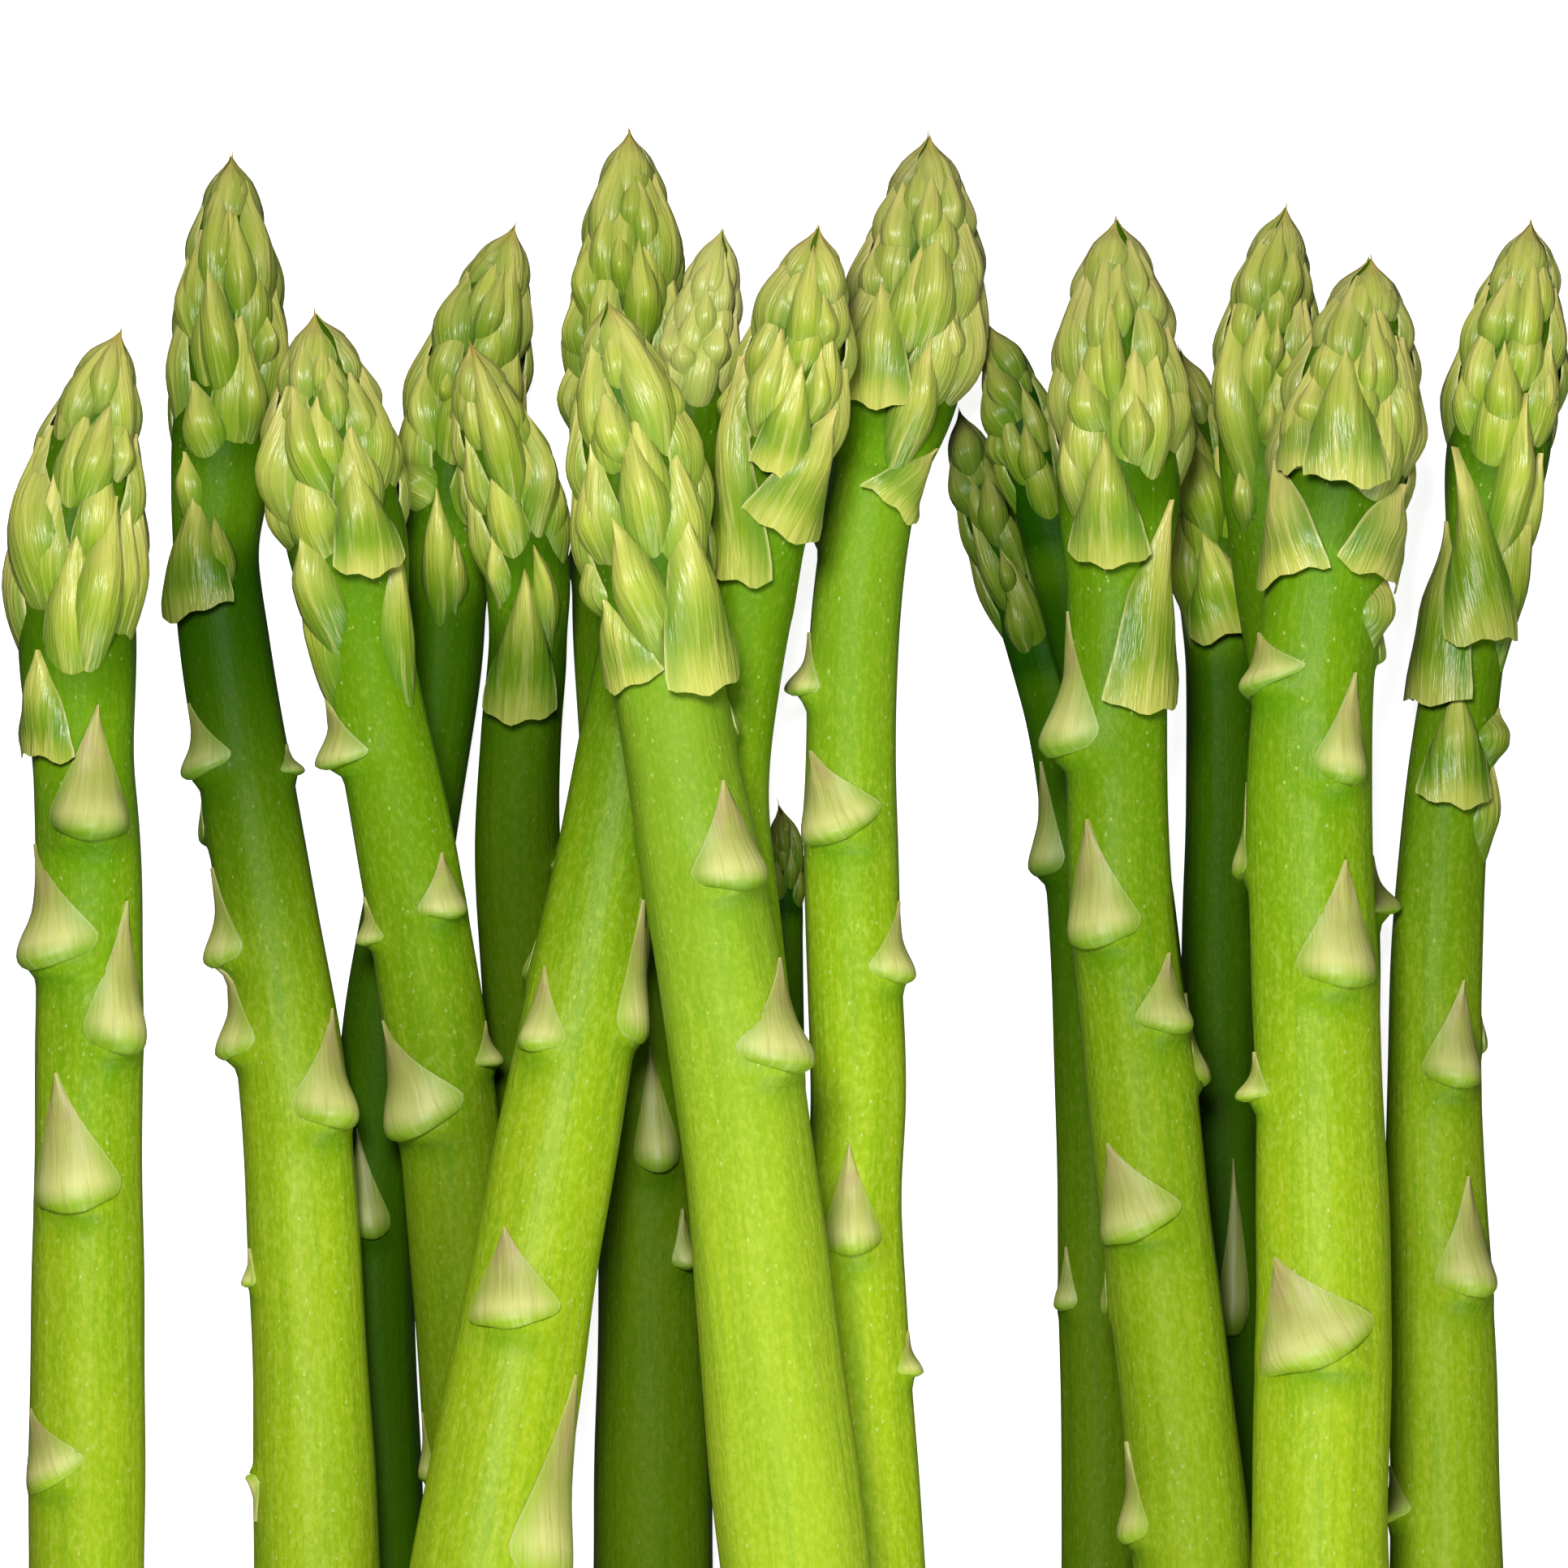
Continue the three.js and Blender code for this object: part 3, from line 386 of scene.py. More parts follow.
def outer_radius(spear, distance):
    """Radius over the scales, at a distance in mm from the tip."""
    length, radius = spear["head"]
    upper, lower = spear["stem"]
    d = np.maximum(np.asarray(distance, float), 0.0)
    down = np.maximum(0, d - length) / (spear["total"] - length)
    stem = upper + (lower - upper) * np.minimum(1, down * TAPER_RATE)
    rounded = np.sin(np.pi / 2 * np.minimum(1, d / length / HEAD_FULL)) ** HEAD_ROUNDNESS
    head = radius * (TIP_SHARE + REST_SHARE * rounded)
    blend = smooth_step(d, length * NECK_START, length * NECK_END)
    return np.where(d >= length * NECK_END, stem, head + (stem - head) * blend)


def core_radius(spear, distance):
    """Radius of the bare stem, which runs up inside the head and ends below its tip."""
    length = spear["head"][0]
    share = 0.88 + 0.12 * smooth_step(distance, length * 0.62, length)
    return outer_radius(spear, distance) * share * (0.15 + 0.85 * smooth_step(distance, -0.3, 3.6))


# %% Laying the spears down
# In mm: between two stations, between two spears that cross, and how deep one presses into
# the surface. In shares of the length: the free end that bends, and the middle of the weight.
STATION = 2.0
GAP = 0.5
SINK = 0.3
FREE_END = 0.45
MIDDLE_OF_WEIGHT = 0.52
FAR_BELOW = -1e9


def bend_at(spear, share):
    """How far a spear's own bend lifts it, in mm, at a share of its length."""
    free = np.maximum(0, 1 - share / FREE_END)
    return spear["bend"] * free**2 + 4 * spear["arch"] * share * (1 - share)


def stations_of(spear):
    """Points at even steps on the centre line, still flat."""
    corners = [(x - ORIGIN_X, ORIGIN_Y - y, 0) for x, y in spear["path"]]
    fine = smooth_line(corners, 200)
    run = np.concatenate([[0], np.cumsum(np.linalg.norm(np.diff(fine, axis=0), axis=1))])
    spear["total"] = run[-1]
    count = round(run[-1] / STATION)
    spear["step"] = run[-1] / count
    even = np.linspace(0, run[-1], count + 1)
    return np.stack([np.interp(even, run, fine[:, k]) for k in range(3)], axis=1)


def lay_down(spear, laid):
    """Lowers a spear until it rests at two places, one on each side of its middle."""
    points = stations_of(spear)
    last = len(points) - 1
    radius = outer_radius(spear, np.arange(last + 1) * spear["step"])
    floor = radius - SINK
    for other in laid:
        below = other["stations"]
        other_radius = outer_radius(other, np.arange(len(below)) * other["step"])
        reach = radius[:, None] + other_radius[None, :] + GAP
        across = np.hypot(*(points[:, None, k] - below[None, :, k] for k in (0, 1)))
        over = below[None, :, 2] + np.sqrt(np.maximum(0, reach**2 - across**2))
        floor = np.maximum(floor, np.where(across < reach, over, FAR_BELOW).max(axis=1))
    share = np.arange(last + 1) / last
    floor = floor - bend_at(spear, share)
    middle = last * MIDDLE_OF_WEIGHT
    # Of all pairs of places, one on each side of the middle, the pair that holds it highest.
    height, slope = FAR_BELOW, 0.0
    for a in range(int(middle) + 1):
        for b in range(math.ceil(middle), last + 1):
            if a == b:
                continue
            tilt = (floor[b] - floor[a]) / (b - a)
            if floor[a] + tilt * (middle - a) > height:
                height, slope = floor[a] + tilt * (middle - a), tilt
    points[:, 2] = height + slope * (np.arange(last + 1) - middle) + bend_at(spear, share)
    spear["stations"] = points
    spear["line"] = smooth_line(points, 4)
    spear["at"] = np.linspace(0, last * spear["step"], len(spear["line"]))
    towards_tip = -np.gradient(spear["line"], axis=0)
    spear["towards_tip"] = towards_tip / np.linalg.norm(towards_tip, axis=1)[:, None]


laid = []
for number in LAYING_ORDER:
    lay_down(SPEARS[f"spear_{number:02d}"], laid)
    laid.append(SPEARS[f"spear_{number:02d}"])
print("top of the pile, mm:", round(max(s["stations"][:, 2].max() for s in laid), 1))

# %% [markdown]
# ## From flat to round
#
# Scales and bracts are easy to model flat, like a leaf cut from paper. A place on a spear is
# given by its distance from the tip, its angle round the stem and its radius, so a flat leaf
# wraps round a bent spear when its length is read as distance and its width as angle.

# %% Places on a spear
def frame_at(spear, distance):
    """Centre, direction to the tip, side and up at distances in mm."""
    d = np.asarray(distance, float)
    inside = np.clip(d, 0, spear["at"][-1])

    def pick(rows):
        return np.stack([np.interp(inside, spear["at"], rows[:, k]) for k in range(3)], -1)

    along = pick(spear["towards_tip"])
    along /= np.linalg.norm(along, axis=-1)[..., None]
    side = np.cross(along, [0, 0, 1.0])
    side /= np.linalg.norm(side, axis=-1)[..., None]
    centre = pick(spear["line"]) + along * (inside - d)[..., None]
    return centre, along, side, np.cross(side, along)


def on_spear(spear, distance, angle, radius):
    """Places in mm. Angle 0 is the top of a spear that lies down."""
    centre, _, side, up = frame_at(spear, distance)
    across = side * (np.sin(angle) * radius)[..., None]
    return centre + across + up * (np.cos(angle) * radius)[..., None]


# The least radius, in mm, and how far out to the side a place may be, in radii.
THINNEST = 1.5
FARTHEST_SIDE = 0.96


def spot_under(spear, x, y, stand_out):
    """Distance and angle of the place that is seen at layout x, y."""
    aim = np.array([x - ORIGIN_X, ORIGIN_Y - y, 0])
    away = np.hypot(*(spear["line"] - aim)[:, :2].T)
    distance = spear["at"][np.argmin(away)]
    centre, along, side, _ = frame_at(spear, distance)
    distance = distance - np.dot((aim - centre)[:2], along[:2])
    across = np.dot((aim - centre)[:2], side[:2])
    radius = max(THINNEST, float(outer_radius(spear, distance)) + 0.5 * stand_out)
    return distance, math.asin(max(-FARTHEST_SIDE, min(FARTHEST_SIDE, across / radius)))


print("tip of spear_01, mm:", frame_at(SPEARS["spear_01"], 0)[0].round(1))


# %% [markdown]
# ## The blanks
#
# One straight stem and three flat leaves are modelled once, with the tools a modeller uses
# by hand. The stem is a cylinder whose long edges are subdivided, and its cut face is inset
# for the rounded rim. A leaf is a grid whose rows are drawn in to its outline, thickened by
# Solidify so that it is a closed shell. A row that is done waits above the others, so that
# the next row's place doesn't pick it too. Copies are then wrapped round each spear.

# %% The straight stem
def start_clean():
    """Deselects everything, because an operator acts on all that is selected."""
    for chosen in list(bpy.context.selected_objects):
        chosen.select_set(False)


def pick_parts(piece, wanted_edges=None, wanted_faces=None, wanted_points=None):
    """Selects by a test on coordinates, in edit mode, and nothing else."""
    net = bmesh.from_edit_mesh(piece.data)
    for parts in (net.verts, net.edges, net.faces):
        for part in parts:
            part.select = False
    net.select_flush(False)
    tests = ((net.verts, wanted_points), (net.edges, wanted_edges), (net.faces, wanted_faces))
    for parts, wanted in tests:
        for part in parts:
            if wanted and wanted(part):
                part.select_set(True)
    bmesh.update_edit_mesh(piece.data)


STEM_SIDES = 40
STEM_CUTS = (29, 5)
CUT_INSETS = (0.05, 0.22, 0.3)
start_clean()
bpy.ops.mesh.primitive_cylinder_add(
    vertices=STEM_SIDES, radius=1, depth=1, end_fill_type="TRIFAN", location=(0, 0, 0.5)
)
stem_blank = bpy.context.object
stem_blank.name = "stem_blank"
bpy.ops.object.transform_apply(location=True)
bpy.ops.object.mode_set(mode="EDIT")
for cuts in STEM_CUTS:
    bpy.ops.mesh.select_mode(type="EDGE")
    pick_parts(stem_blank, wanted_edges=lambda e: abs(e.verts[0].co.z - e.verts[1].co.z) > 1e-4)
    bpy.ops.mesh.subdivide(number_cuts=cuts)
bpy.ops.mesh.select_mode(type="FACE")
pick_parts(stem_blank, wanted_faces=lambda f: all(v.co.z > 0.9999 for v in f.verts))
for thickness in CUT_INSETS:
    bpy.ops.mesh.inset(thickness=thickness)
bpy.ops.object.mode_set(mode="OBJECT")
print("stem blank:", len(stem_blank.data.polygons), "faces")

# %% The flat leaves
LEAF_ROWS = 14
LEAF_COLUMNS = 12
LEAF_WALL = 0.1
WAITING_HEIGHT = 5


def scale_outline(v):
    widening = 0.24 + 0.76 * math.sin(math.pi / 2 * min(1, v / 0.42))
    return widening * max(0.02, 1 - max(0, (v - 0.34) / 0.66) ** 1.75)


def skirt_outline(v):
    finger = 0.9 * max(0.02, 1 - max(0, (v - 0.2) / 0.8) ** 1.9)
    flare = 0.08 * math.exp(-(((v - 0.03) / 0.14) ** 2))
    return finger + flare


BRACT_HEIGHTS = (0, 0.04, 0.1, 0.18, 0.28, 0.4, 0.55, 0.7, 0.85, 1)
BRACT_WIDTHS = (0.45, 0.78, 0.95, 1, 0.89, 0.73, 0.53, 0.34, 0.17, 0.02)


def bract_outline(v):
    return float(np.interp(v, BRACT_HEIGHTS, BRACT_WIDTHS))


# The half width along a leaf, from its base at 0 to its tip at 1, and how much its rows
# crowd at the base.
OUTLINES = {"scale": (scale_outline, 1.0), "skirt": (skirt_outline, 1.0), "bract": (bract_outline, 1.7)}


def leaf_blank(kind):
    outline, crowding = OUTLINES[kind]
    start_clean()
    bpy.ops.mesh.primitive_grid_add(
        x_subdivisions=LEAF_COLUMNS, y_subdivisions=LEAF_ROWS, size=2, location=(0, 0, 0)
    )
    leaf = bpy.context.object
    leaf.name = f"{kind}_blank"
    across = leaf.data.attributes.new("across", "FLOAT", "POINT")
    across.data.foreach_set("value", [v.co.x for v in leaf.data.vertices])
    bpy.ops.object.mode_set(mode="EDIT")
    bpy.ops.mesh.select_mode(type="VERT")
    for row in range(LEAF_ROWS + 1):
        y = -1 + 2 * row / LEAF_ROWS
        v = (row / LEAF_ROWS) ** crowding
        pick_parts(leaf, wanted_points=lambda p: abs(p.co.y - y) < 1e-3 and p.co.z < 1)
        bpy.ops.transform.resize(value=(outline(v), 1, 1), center_override=(0, y, 0))
        bpy.ops.transform.translate(value=(0, v - y, WAITING_HEIGHT))
    bpy.ops.mesh.select_all(action="SELECT")
    bpy.ops.transform.translate(value=(0, 0, -WAITING_HEIGHT))
    bpy.ops.object.mode_set(mode="OBJECT")
    thick = leaf.modifiers.new("thickness", "SOLIDIFY")
    thick.thickness = LEAF_WALL
    thick.offset = -1
    bpy.ops.object.modifier_apply(modifier=thick.name)
    return leaf


leaf_blanks = {kind: leaf_blank(kind) for kind in OUTLINES}
print("leaf blanks:", {k: len(b.data.polygons) for k, b in leaf_blanks.items()})


# %% What a blank holds
def read_blank(piece):
    """A blank's points, and for a leaf where each lies on it."""
    mesh = piece.data
    co = np.empty(len(mesh.vertices) * 3)
    mesh.vertices.foreach_get("co", co)
    co = co.reshape(-1, 3)
    held = {"piece": piece, "co": co}
    if "across" in mesh.attributes:
        across = np.empty(len(co))
        mesh.attributes["across"].data.foreach_get("value", across)
        top = co[:, 2] > -LEAF_WALL / 2
        held.update(across=across, x=co[:, 0], v=np.clip(co[:, 1], 0, 1), top=top)
    return held


stem_form = read_blank(stem_blank)
leaf_forms = {kind: read_blank(piece) for kind, piece in leaf_blanks.items()}
print("points:", len(stem_form["co"]), {kind: len(form["co"]) for kind, form in leaf_forms.items()})

# %% [markdown]
# ## What the surface knows
#
# The finishes need to know where on a spear they are: how far along a scale, how near to its edge, how
# near to the tip of the spear. Each vertex carries such numbers as attributes, and "lie" holds its place
# on the spear as if that were straight, in mm, for veins and streaks that follow the growth. They stay
# with the mesh when it is bent. On a leaf "reach" runs from its base to its tip and "edge" from its middle
# to its sides. On a stem "edge" is how deep in the painted shadow of the fold under a bract a place is,
# and on the cut "reach" is the distance from its middle.

# %% A copy of a blank with its own shape
NUMBERS = ("reach", "edge", "tint", "shade", "blush", "fresh", "crown")
STEM_SKIN, HEAD_SCALE, BRACT_SKIN, CUT_FLESH = range(4)
REST_DEPTH = 0.4


def copy_blank(form, points, lie, slots, **numbers):
    """A new object on a copy of the blank's mesh, with points in mm and its own numbers.

    What would sink into the surface below is pressed flat on it.
    """
    mesh = form["piece"].data.copy()
    low = points[:, 2] < REST_DEPTH
    points[low, 2] = REST_DEPTH * np.exp(points[low, 2] / REST_DEPTH - 1)
    mesh.vertices.foreach_set("co", (points / 1000).ravel())
    if "across" in mesh.attributes:
        mesh.attributes.remove(mesh.attributes["across"])
    lie_numbers = mesh.attributes.new("lie", "FLOAT_VECTOR", "POINT")
    lie_numbers.data.foreach_set("vector", np.asarray(lie, float).ravel())
    for name in NUMBERS:
        values = np.broadcast_to(np.asarray(numbers[name], float), len(points))
        mesh.attributes.new(name, "FLOAT", "POINT").data.foreach_set("value", values.copy())
    mesh.polygons.foreach_set("material_index", np.broadcast_to(slots, len(mesh.polygons)).copy())
    piece = bpy.data.objects.new("part", mesh)
    bpy.context.collection.objects.link(piece)
    return piece


# %% Numbers that depend on the place on a spear
def place_numbers(spear, distance, angle, is_stem):
    """How much painted shade or painted light, how purple, how fully grown and how near the very tip each
    place is.
    """
    length = spear["head"][0]
    head_shade, neck_shade, low_shade = spear["shade"]
    neck = smooth_step(distance, length * 0.85, length * 1.15)
    down = smooth_step(distance, length * 1.15, length + 0.5 * (spear["total"] - length))
    shade = head_shade + (neck_shade - head_shade) * neck + (low_shade - neck_shade) * down
    if is_stem:
        # Between the scales of its head the stem lies in their shadow.
        shade = shade + 0.6 * (1 - smooth_step(distance, length * 0.75, length * 1.02))
    else:
        shade = shade * (0.9 - 0.25 * neck)
    flank = np.abs(np.sin(angle)) ** 2
    return {
        "shade": shade,
        "blush": spear["blush"] * (0.3 + 0.7 * flank) * (1 - 0.6 * neck)
        + 0.2 * (1 - smooth_step(distance, 3, 0.5 * length)),
        "fresh": smooth_step(distance, length * 0.75, length + 0.62 * (spear["total"] - length)),
        "crown": np.clip(1 - (np.asarray(distance) + 0.5) / 4.0, 0, 1) * (not is_stem),
    }


# %% [markdown]
# ## The stem
#
# A stem is nearly round, with faint flats between the lines where the bracts above it run down, and it
# swells over every bud, most at the bract's base, where it folds into a soft ledge. The skin in the fold
# is painted a little darker, a painted shadow under the ledge. The blank's radius 1 becomes the spear's
# radius, with a few slow waves round it and the swellings, and the rim of the cut is rounded by a third of
# a millimetre.

# %% Swellings over the buds
def seen_share(angle):
    """How much of a width round the stem is seen from above."""
    return max(0.55, math.cos(angle)) if abs(angle) < math.pi / 2 else 1


def swelling(spear, distance, angle):
    """How far the stem swells over its buds, in mm, at distances and angles."""
    most = np.zeros_like(distance)
    for (d0, a0), (d1, a1), width, rise in spear["buds"]:
        length = max(d0 - d1, 2)
        crest = d0 - 0.9
        # Steep below the crest, and drawn out above it.
        along = np.where(distance > crest, distance - crest, 0) / (0.7 + 0.35 * rise)
        along += np.where(distance < crest, crest - distance, 0) / (0.32 * length)
        middle = a0 + (a1 - a0) * np.clip((d0 - distance) / length, 0, 1)
        turn = (angle - middle + np.pi) % (2 * np.pi) - np.pi
        across = turn * float(outer_radius(spear, d0)) / (0.42 * width / seen_share(a0))
        most = np.maximum(most, 1.25 * rise * np.exp(-(along**2) - across**2))
    return most


def fold_shade(spear, distance, angle):
    """How deep in the painted shadow of the fold under a bract a place is, 0 to 1."""
    deepest = np.zeros_like(distance)
    for (d0, a0), _, width, rise in spear["buds"]:
        below = distance - d0 - 0.2
        # Soft below the bract's edge, and short under the bract.
        below = np.where(below > 0, below / (1.7 + 0.6 * rise), below / 0.8)
        turn = (angle - a0 + np.pi) % (2 * np.pi) - np.pi
        across = turn * float(outer_radius(spear, d0)) / (0.4 * width / seen_share(a0))
        deepest = np.maximum(deepest, np.exp(-(below**2) - across**2))
    return deepest


# %% Wrapping a stem
RIM_ROUNDING = 0.35


def wrap_stem(spear, rng):
    """A spear's stem, from a copy of the straight one."""
    co = stem_form["co"]
    share = np.clip(co[:, 2], 0, 1)
    rho = np.hypot(co[:, 0], co[:, 1])
    angle = np.arctan2(co[:, 0], co[:, 1])
    distance = share * spear["total"]
    rim = (share > 0.9999) & (rho > 0.99)
    distance = distance - np.where(rim, RIM_ROUNDING, 0)
    first, second, third = rng.uniform(0, 2 * np.pi, 3)
    # Five and nine flats round the stem, which turn slowly, and slow waves along it.
    flats = 0.012 * np.cos(5 * angle + first + distance * 0.012)
    flats += 0.007 * np.cos(9 * angle + second - distance * 0.02)
    swell = 0.014 * np.sin(distance / 9 + third) + 0.008 * np.sin(distance / 4.1 + first)
    radius = core_radius(spear, distance) * (1 + flats + swell) + swelling(spear, distance, angle)
    radius = radius * rho
    points = on_spear(spear, distance, angle, radius)
    lie = np.stack([np.cos(angle) * radius, np.sin(angle) * radius, distance], axis=1)
    faces = stem_form["piece"].data.polygons
    cut = np.array([all(share[i] > 0.9999 for i in face.vertices) for face in faces])
    slots = np.where(cut, CUT_FLESH, STEM_SKIN)
    # On the stem "edge" carries the painted shadow in the fold under each bract.
    return copy_blank(
        stem_form, points, lie, slots, reach=rho, edge=fold_shade(spear, distance, angle),
        tint=rng.uniform(0, 1), **place_numbers(spear, distance, angle, True)
    )


# %% [markdown]
# ## Scales, skirts and bracts
#
# A scale bulges like the back of a spoon and lays its tip on the scale above. A skirt's lower
# edge is free, uneven and casts a shadow. A bract is a thin film over the swelling of its
# bud, and tapers to a dry point that lies on the stem. Each could be sculpted by hand, but
# there are hundreds, so each kind has one profile instead: how far out it stands, from its
# base to its tip and from its middle to its edges. Chance bends and dents make them differ.

# %% How far out a leaf stands
def leaf_profile(kind, spear, distance, v, across, rise):
    """Outer radius and thickness of a leaf, in mm."""
    base = outer_radius(spear, distance)
    e2 = across**2
    plump = np.maximum(0, 1 - e2) ** 0.75
    if kind == "scale":
        # A bulge with a soft rib, its base tucked in low on the head, its tip pressed down.
        bulge = smooth_step(v, -0.1, 0.5) * (1 - 0.7 * smooth_step(v, 0.55, 1))
        rib = 0.14 * np.exp(-((across / 0.2) ** 2)) * smooth_step(v, 0.3, 0.6)
        length = spear["head"][0]
        tucked = 0.25 * (1 - smooth_step(distance, 0.85 * length, 1.02 * length))
        fit = 0.97 - tucked + (tucked + 0.02) * smooth_step(v, 0, 0.6)
        fit = fit - 0.05 * smooth_step(v, 0.6, 1)
        outer = base * fit + rise * (1.2 * bulge * (plump + rib) - 0.3 * e2)
        return outer, (0.2 + 0.5 * (1 - e2)) * (1 - 0.55 * v)
    if kind == "skirt":
        # Its free edge stands off flat and thin, its tip is as round as a scale.
        loose = 1 - smooth_step(v, 0.1, 0.75)
        section = plump + (1 - 0.35 * e2 - plump) * loose
        stand = (1.05 - 0.75 * smooth_step(v, 0.5, 1)) * section
        stand = stand + 0.2 * loose * e2 - 0.2 * (1 - loose) * e2
        return base * 0.97 + rise * stand, 0.16 + 0.4 * (1 - e2) * (1 - loose)
    # A bract is a film whose base follows the bud, and it reaches into the stem below.
    bud = smooth_step(v, -0.05, 0.1) * (1 - 0.97 * smooth_step(v, 0.12, 0.6))
    round_off = np.maximum(0, 1 - (across / 0.98) ** 2) ** 1.5
    membrane = 0.12 + 0.22 * (1 - e2) * smooth_step(v, 0, 0.06)
    outer = base * 1.005 + membrane + 0.7 * rise * bud * round_off
    return outer, outer - base + 0.7


# %% Wrapping a leaf
def wrap_leaf(spear, kind, base, tip, width, rise, rng):
    """One leaf from a distance and angle at its base to those at its tip."""
    form = leaf_forms[kind]
    x, v, across = form["x"], form["v"], form["across"]
    (d0, a0), (d1, a1) = base, tip
    mean_radius = float(outer_radius(spear, (d0 + d1) / 2))
    run = np.array([mean_radius * (a1 - a0), d1 - d0])
    if kind == "bract":
        d0 = d0 - 0.3 - 0.15 * rise
    length = math.hypot(*run)
    half = width / 2 / seen_share((a0 + a1) / 2)
    wave, turn, phase = rng.uniform(-1, 1), rng.uniform(-1, 1), rng.uniform(0, 6.28)
    # It sways a little to one side, and its lower edge is curved or jagged.
    sway = 0.06 * wave * np.sin(v * 3.4 + phase) * length * 0.3
    if kind == "skirt":
        sway = sway + 0.12 * turn * half * np.abs(x) * (1 - v) ** 2
    ragged = -0.16 * width * across**2 * (1 - v) ** 2
    if kind == "skirt":
        jags = 0.5 * np.cos(across * 3.1 + phase) + 0.3 * np.cos(across * 8.3 + 2 * phase)
        ragged = (jags - 0.1 * width * across**4) * (1 - v) ** 5
    if kind == "bract":
        ragged = -0.07 * width * across**2 * (1 - v) ** 3
    sideways = x * half + sway
    distance = d0 + (d1 - d0) * v + sideways * run[0] / length + ragged
    radius = np.maximum(outer_radius(spear, distance), 1.1)
    spread = np.clip(-sideways * run[1] / length / radius, -2.0, 2.0)
    angle = a0 + (a1 - a0) * v + spread
    outer, thickness = leaf_profile(kind, spear, distance, v, across, rise)
    if kind == "bract":
        outer = outer + swelling(spear, distance, angle)
    # Shallow dents, so that no two of them catch the light alike.
    dents = 0.05 * np.sin(v * 9 + across * 4 + phase) * (0.4 + across**2)
    dents += 0.045 * np.sin(across * 6.5 + phase + turn * v) * smooth_step(v, 0.3, 0.8)
    dents += 0.04 * np.sin(v * 17 + 2 * phase - across * 3)
    outer = outer + dents * min(1.6, rise) * (0.4 if kind == "bract" else 1)
    final = np.where(form["top"], outer, np.maximum(outer - thickness, 0.2))
    # At the very tip all leaves draw together.
    final = final * (0.22 + 0.78 * smooth_step(distance, -0.6, 3.0))
    points = on_spear(spear, distance, angle, final)
    lie = np.stack([sideways, np.full_like(v, rng.uniform(0, 400)), v * length], axis=1)
    numbers = place_numbers(spear, distance, angle, False)
    slot = BRACT_SKIN if kind == "bract" else HEAD_SCALE
    reach = np.maximum(v, 0.8 - 1.6 * v) if kind == "skirt" else v
    return copy_blank(
        form, points, lie, slot, reach=reach, edge=np.abs(across),
        tint=rng.uniform(0, 1), **numbers
    )


# %% [markdown]
# ## The crowded head
#
# On the real head the scales follow each other round the stem at the golden angle, 137.5
# degrees. The same rule fills the head here, small scales at the top and large ones below,
# and the scales that can be picked out in the view lie over them.

# %% Scales that fill the head
SPIRAL = math.radians(137.5)
HEAD_COUNT = 24
LONGEST_SCALE = 25
CAP_COUNT = 6
CAP_TURN = 2.2
CAP_RISE = 0.35


def fill_head(spear, start, rng):
    """Small scales by the spiral, and a few wide ones that close the tip."""
    length, radius = spear["head"]
    pieces = []
    for i in range(HEAD_COUNT):
        up = i / (HEAD_COUNT - 1)
        size = 1 - 0.6 * up
        base = length * (1.0 - 0.8 * up**0.92)
        span = min(length * 0.52, LONGEST_SCALE) * size
        angle = start + i * SPIRAL
        ends = (base, angle), (max(-0.4, base - span), angle)
        width, rise = radius * 1.15 * size, radius * 0.12 * size
        pieces.append(wrap_leaf(spear, "scale", *ends, width, rise, rng))
    for i in range(CAP_COUNT):
        ends = (13 - i, start + i * CAP_TURN), (0.45 * i - 0.9, start + i * CAP_TURN + 0.25)
        pieces.append(wrap_leaf(spear, "scale", *ends, radius * (1.2 - 0.07 * i), CAP_RISE, rng))
    return pieces


# %% [markdown]
# ## Bracts at the back
#
# A stem has bracts all the way round. Those in view are placed one by one. The others follow
# the same spiral as the scales, 27 mm apart, and only where there is room for them.

# %% Bracts on the side that the camera doesn't see
BRACT_COUNT = 20
BRACT_SPACING = 27
BRACT_LENGTH, BRACT_WIDTH, BRACT_RISE = 12, 8, 0.9
BACK_HALF = -0.15
# Room in mm above the surface and beside other spears.
FREE_HEIGHT = 0.6
FREE_ROOM = 2


def hidden_bracts(spear, start):
    """Bracts at the back of a spear, where no other spear and no surface is in their way."""
    rows = []
    first = spear["head"][0] + BRACT_LENGTH
    for i in range(BRACT_COUNT):
        distance, angle = first + i * BRACT_SPACING, start + i * SPIRAL
        if distance > spear["total"] - BRACT_LENGTH or math.cos(angle) > BACK_HALF:
            continue
        spot = on_spear(spear, distance, angle, outer_radius(spear, distance) + 0.8)
        clear = spot[2] > FREE_HEIGHT
        for other in SPEARS.values():
            if other is not spear:
                at = np.arange(len(other["stations"])) * other["step"]
                reach = outer_radius(other, at) + FREE_ROOM
                clear = clear and (np.linalg.norm(other["stations"] - spot, axis=1) > reach).all()
        if clear:
            ends = (distance, angle), (distance - BRACT_LENGTH, angle)
            rows.append(("bract", *ends, BRACT_WIDTH, BRACT_RISE))
    return rows


# %% [markdown]
# ## Colour by number
#
# Paint is given as it is read off a screen, in sRGB hex, and shaders want it linear, so one
# function turns it. One more adds a node with its settings and links. A plant's colour is
# many thin layers, so a finish is a list of coats: each is a colour and how strongly it
# covers what is below it, by the numbers that the surface knows.

# %% Paint and nodes
def paint(code):
    """Linear colour from sRGB hex."""
    levels = [int(code[i : i + 2], 16) / 255 for i in (1, 3, 5)]
    return [c / 12.92 if c <= 0.04045 else ((c + 0.055) / 1.055) ** 2.4 for c in levels] + [1]


def connect(finish, node, inputs):
    """Gives a node its values, and links those that come from another node."""
    for key, value in inputs.items():
        if isinstance(value, bpy.types.NodeSocket):
            finish.node_tree.links.new(value, node.inputs[key])
        else:
            node.inputs[key].default_value = value


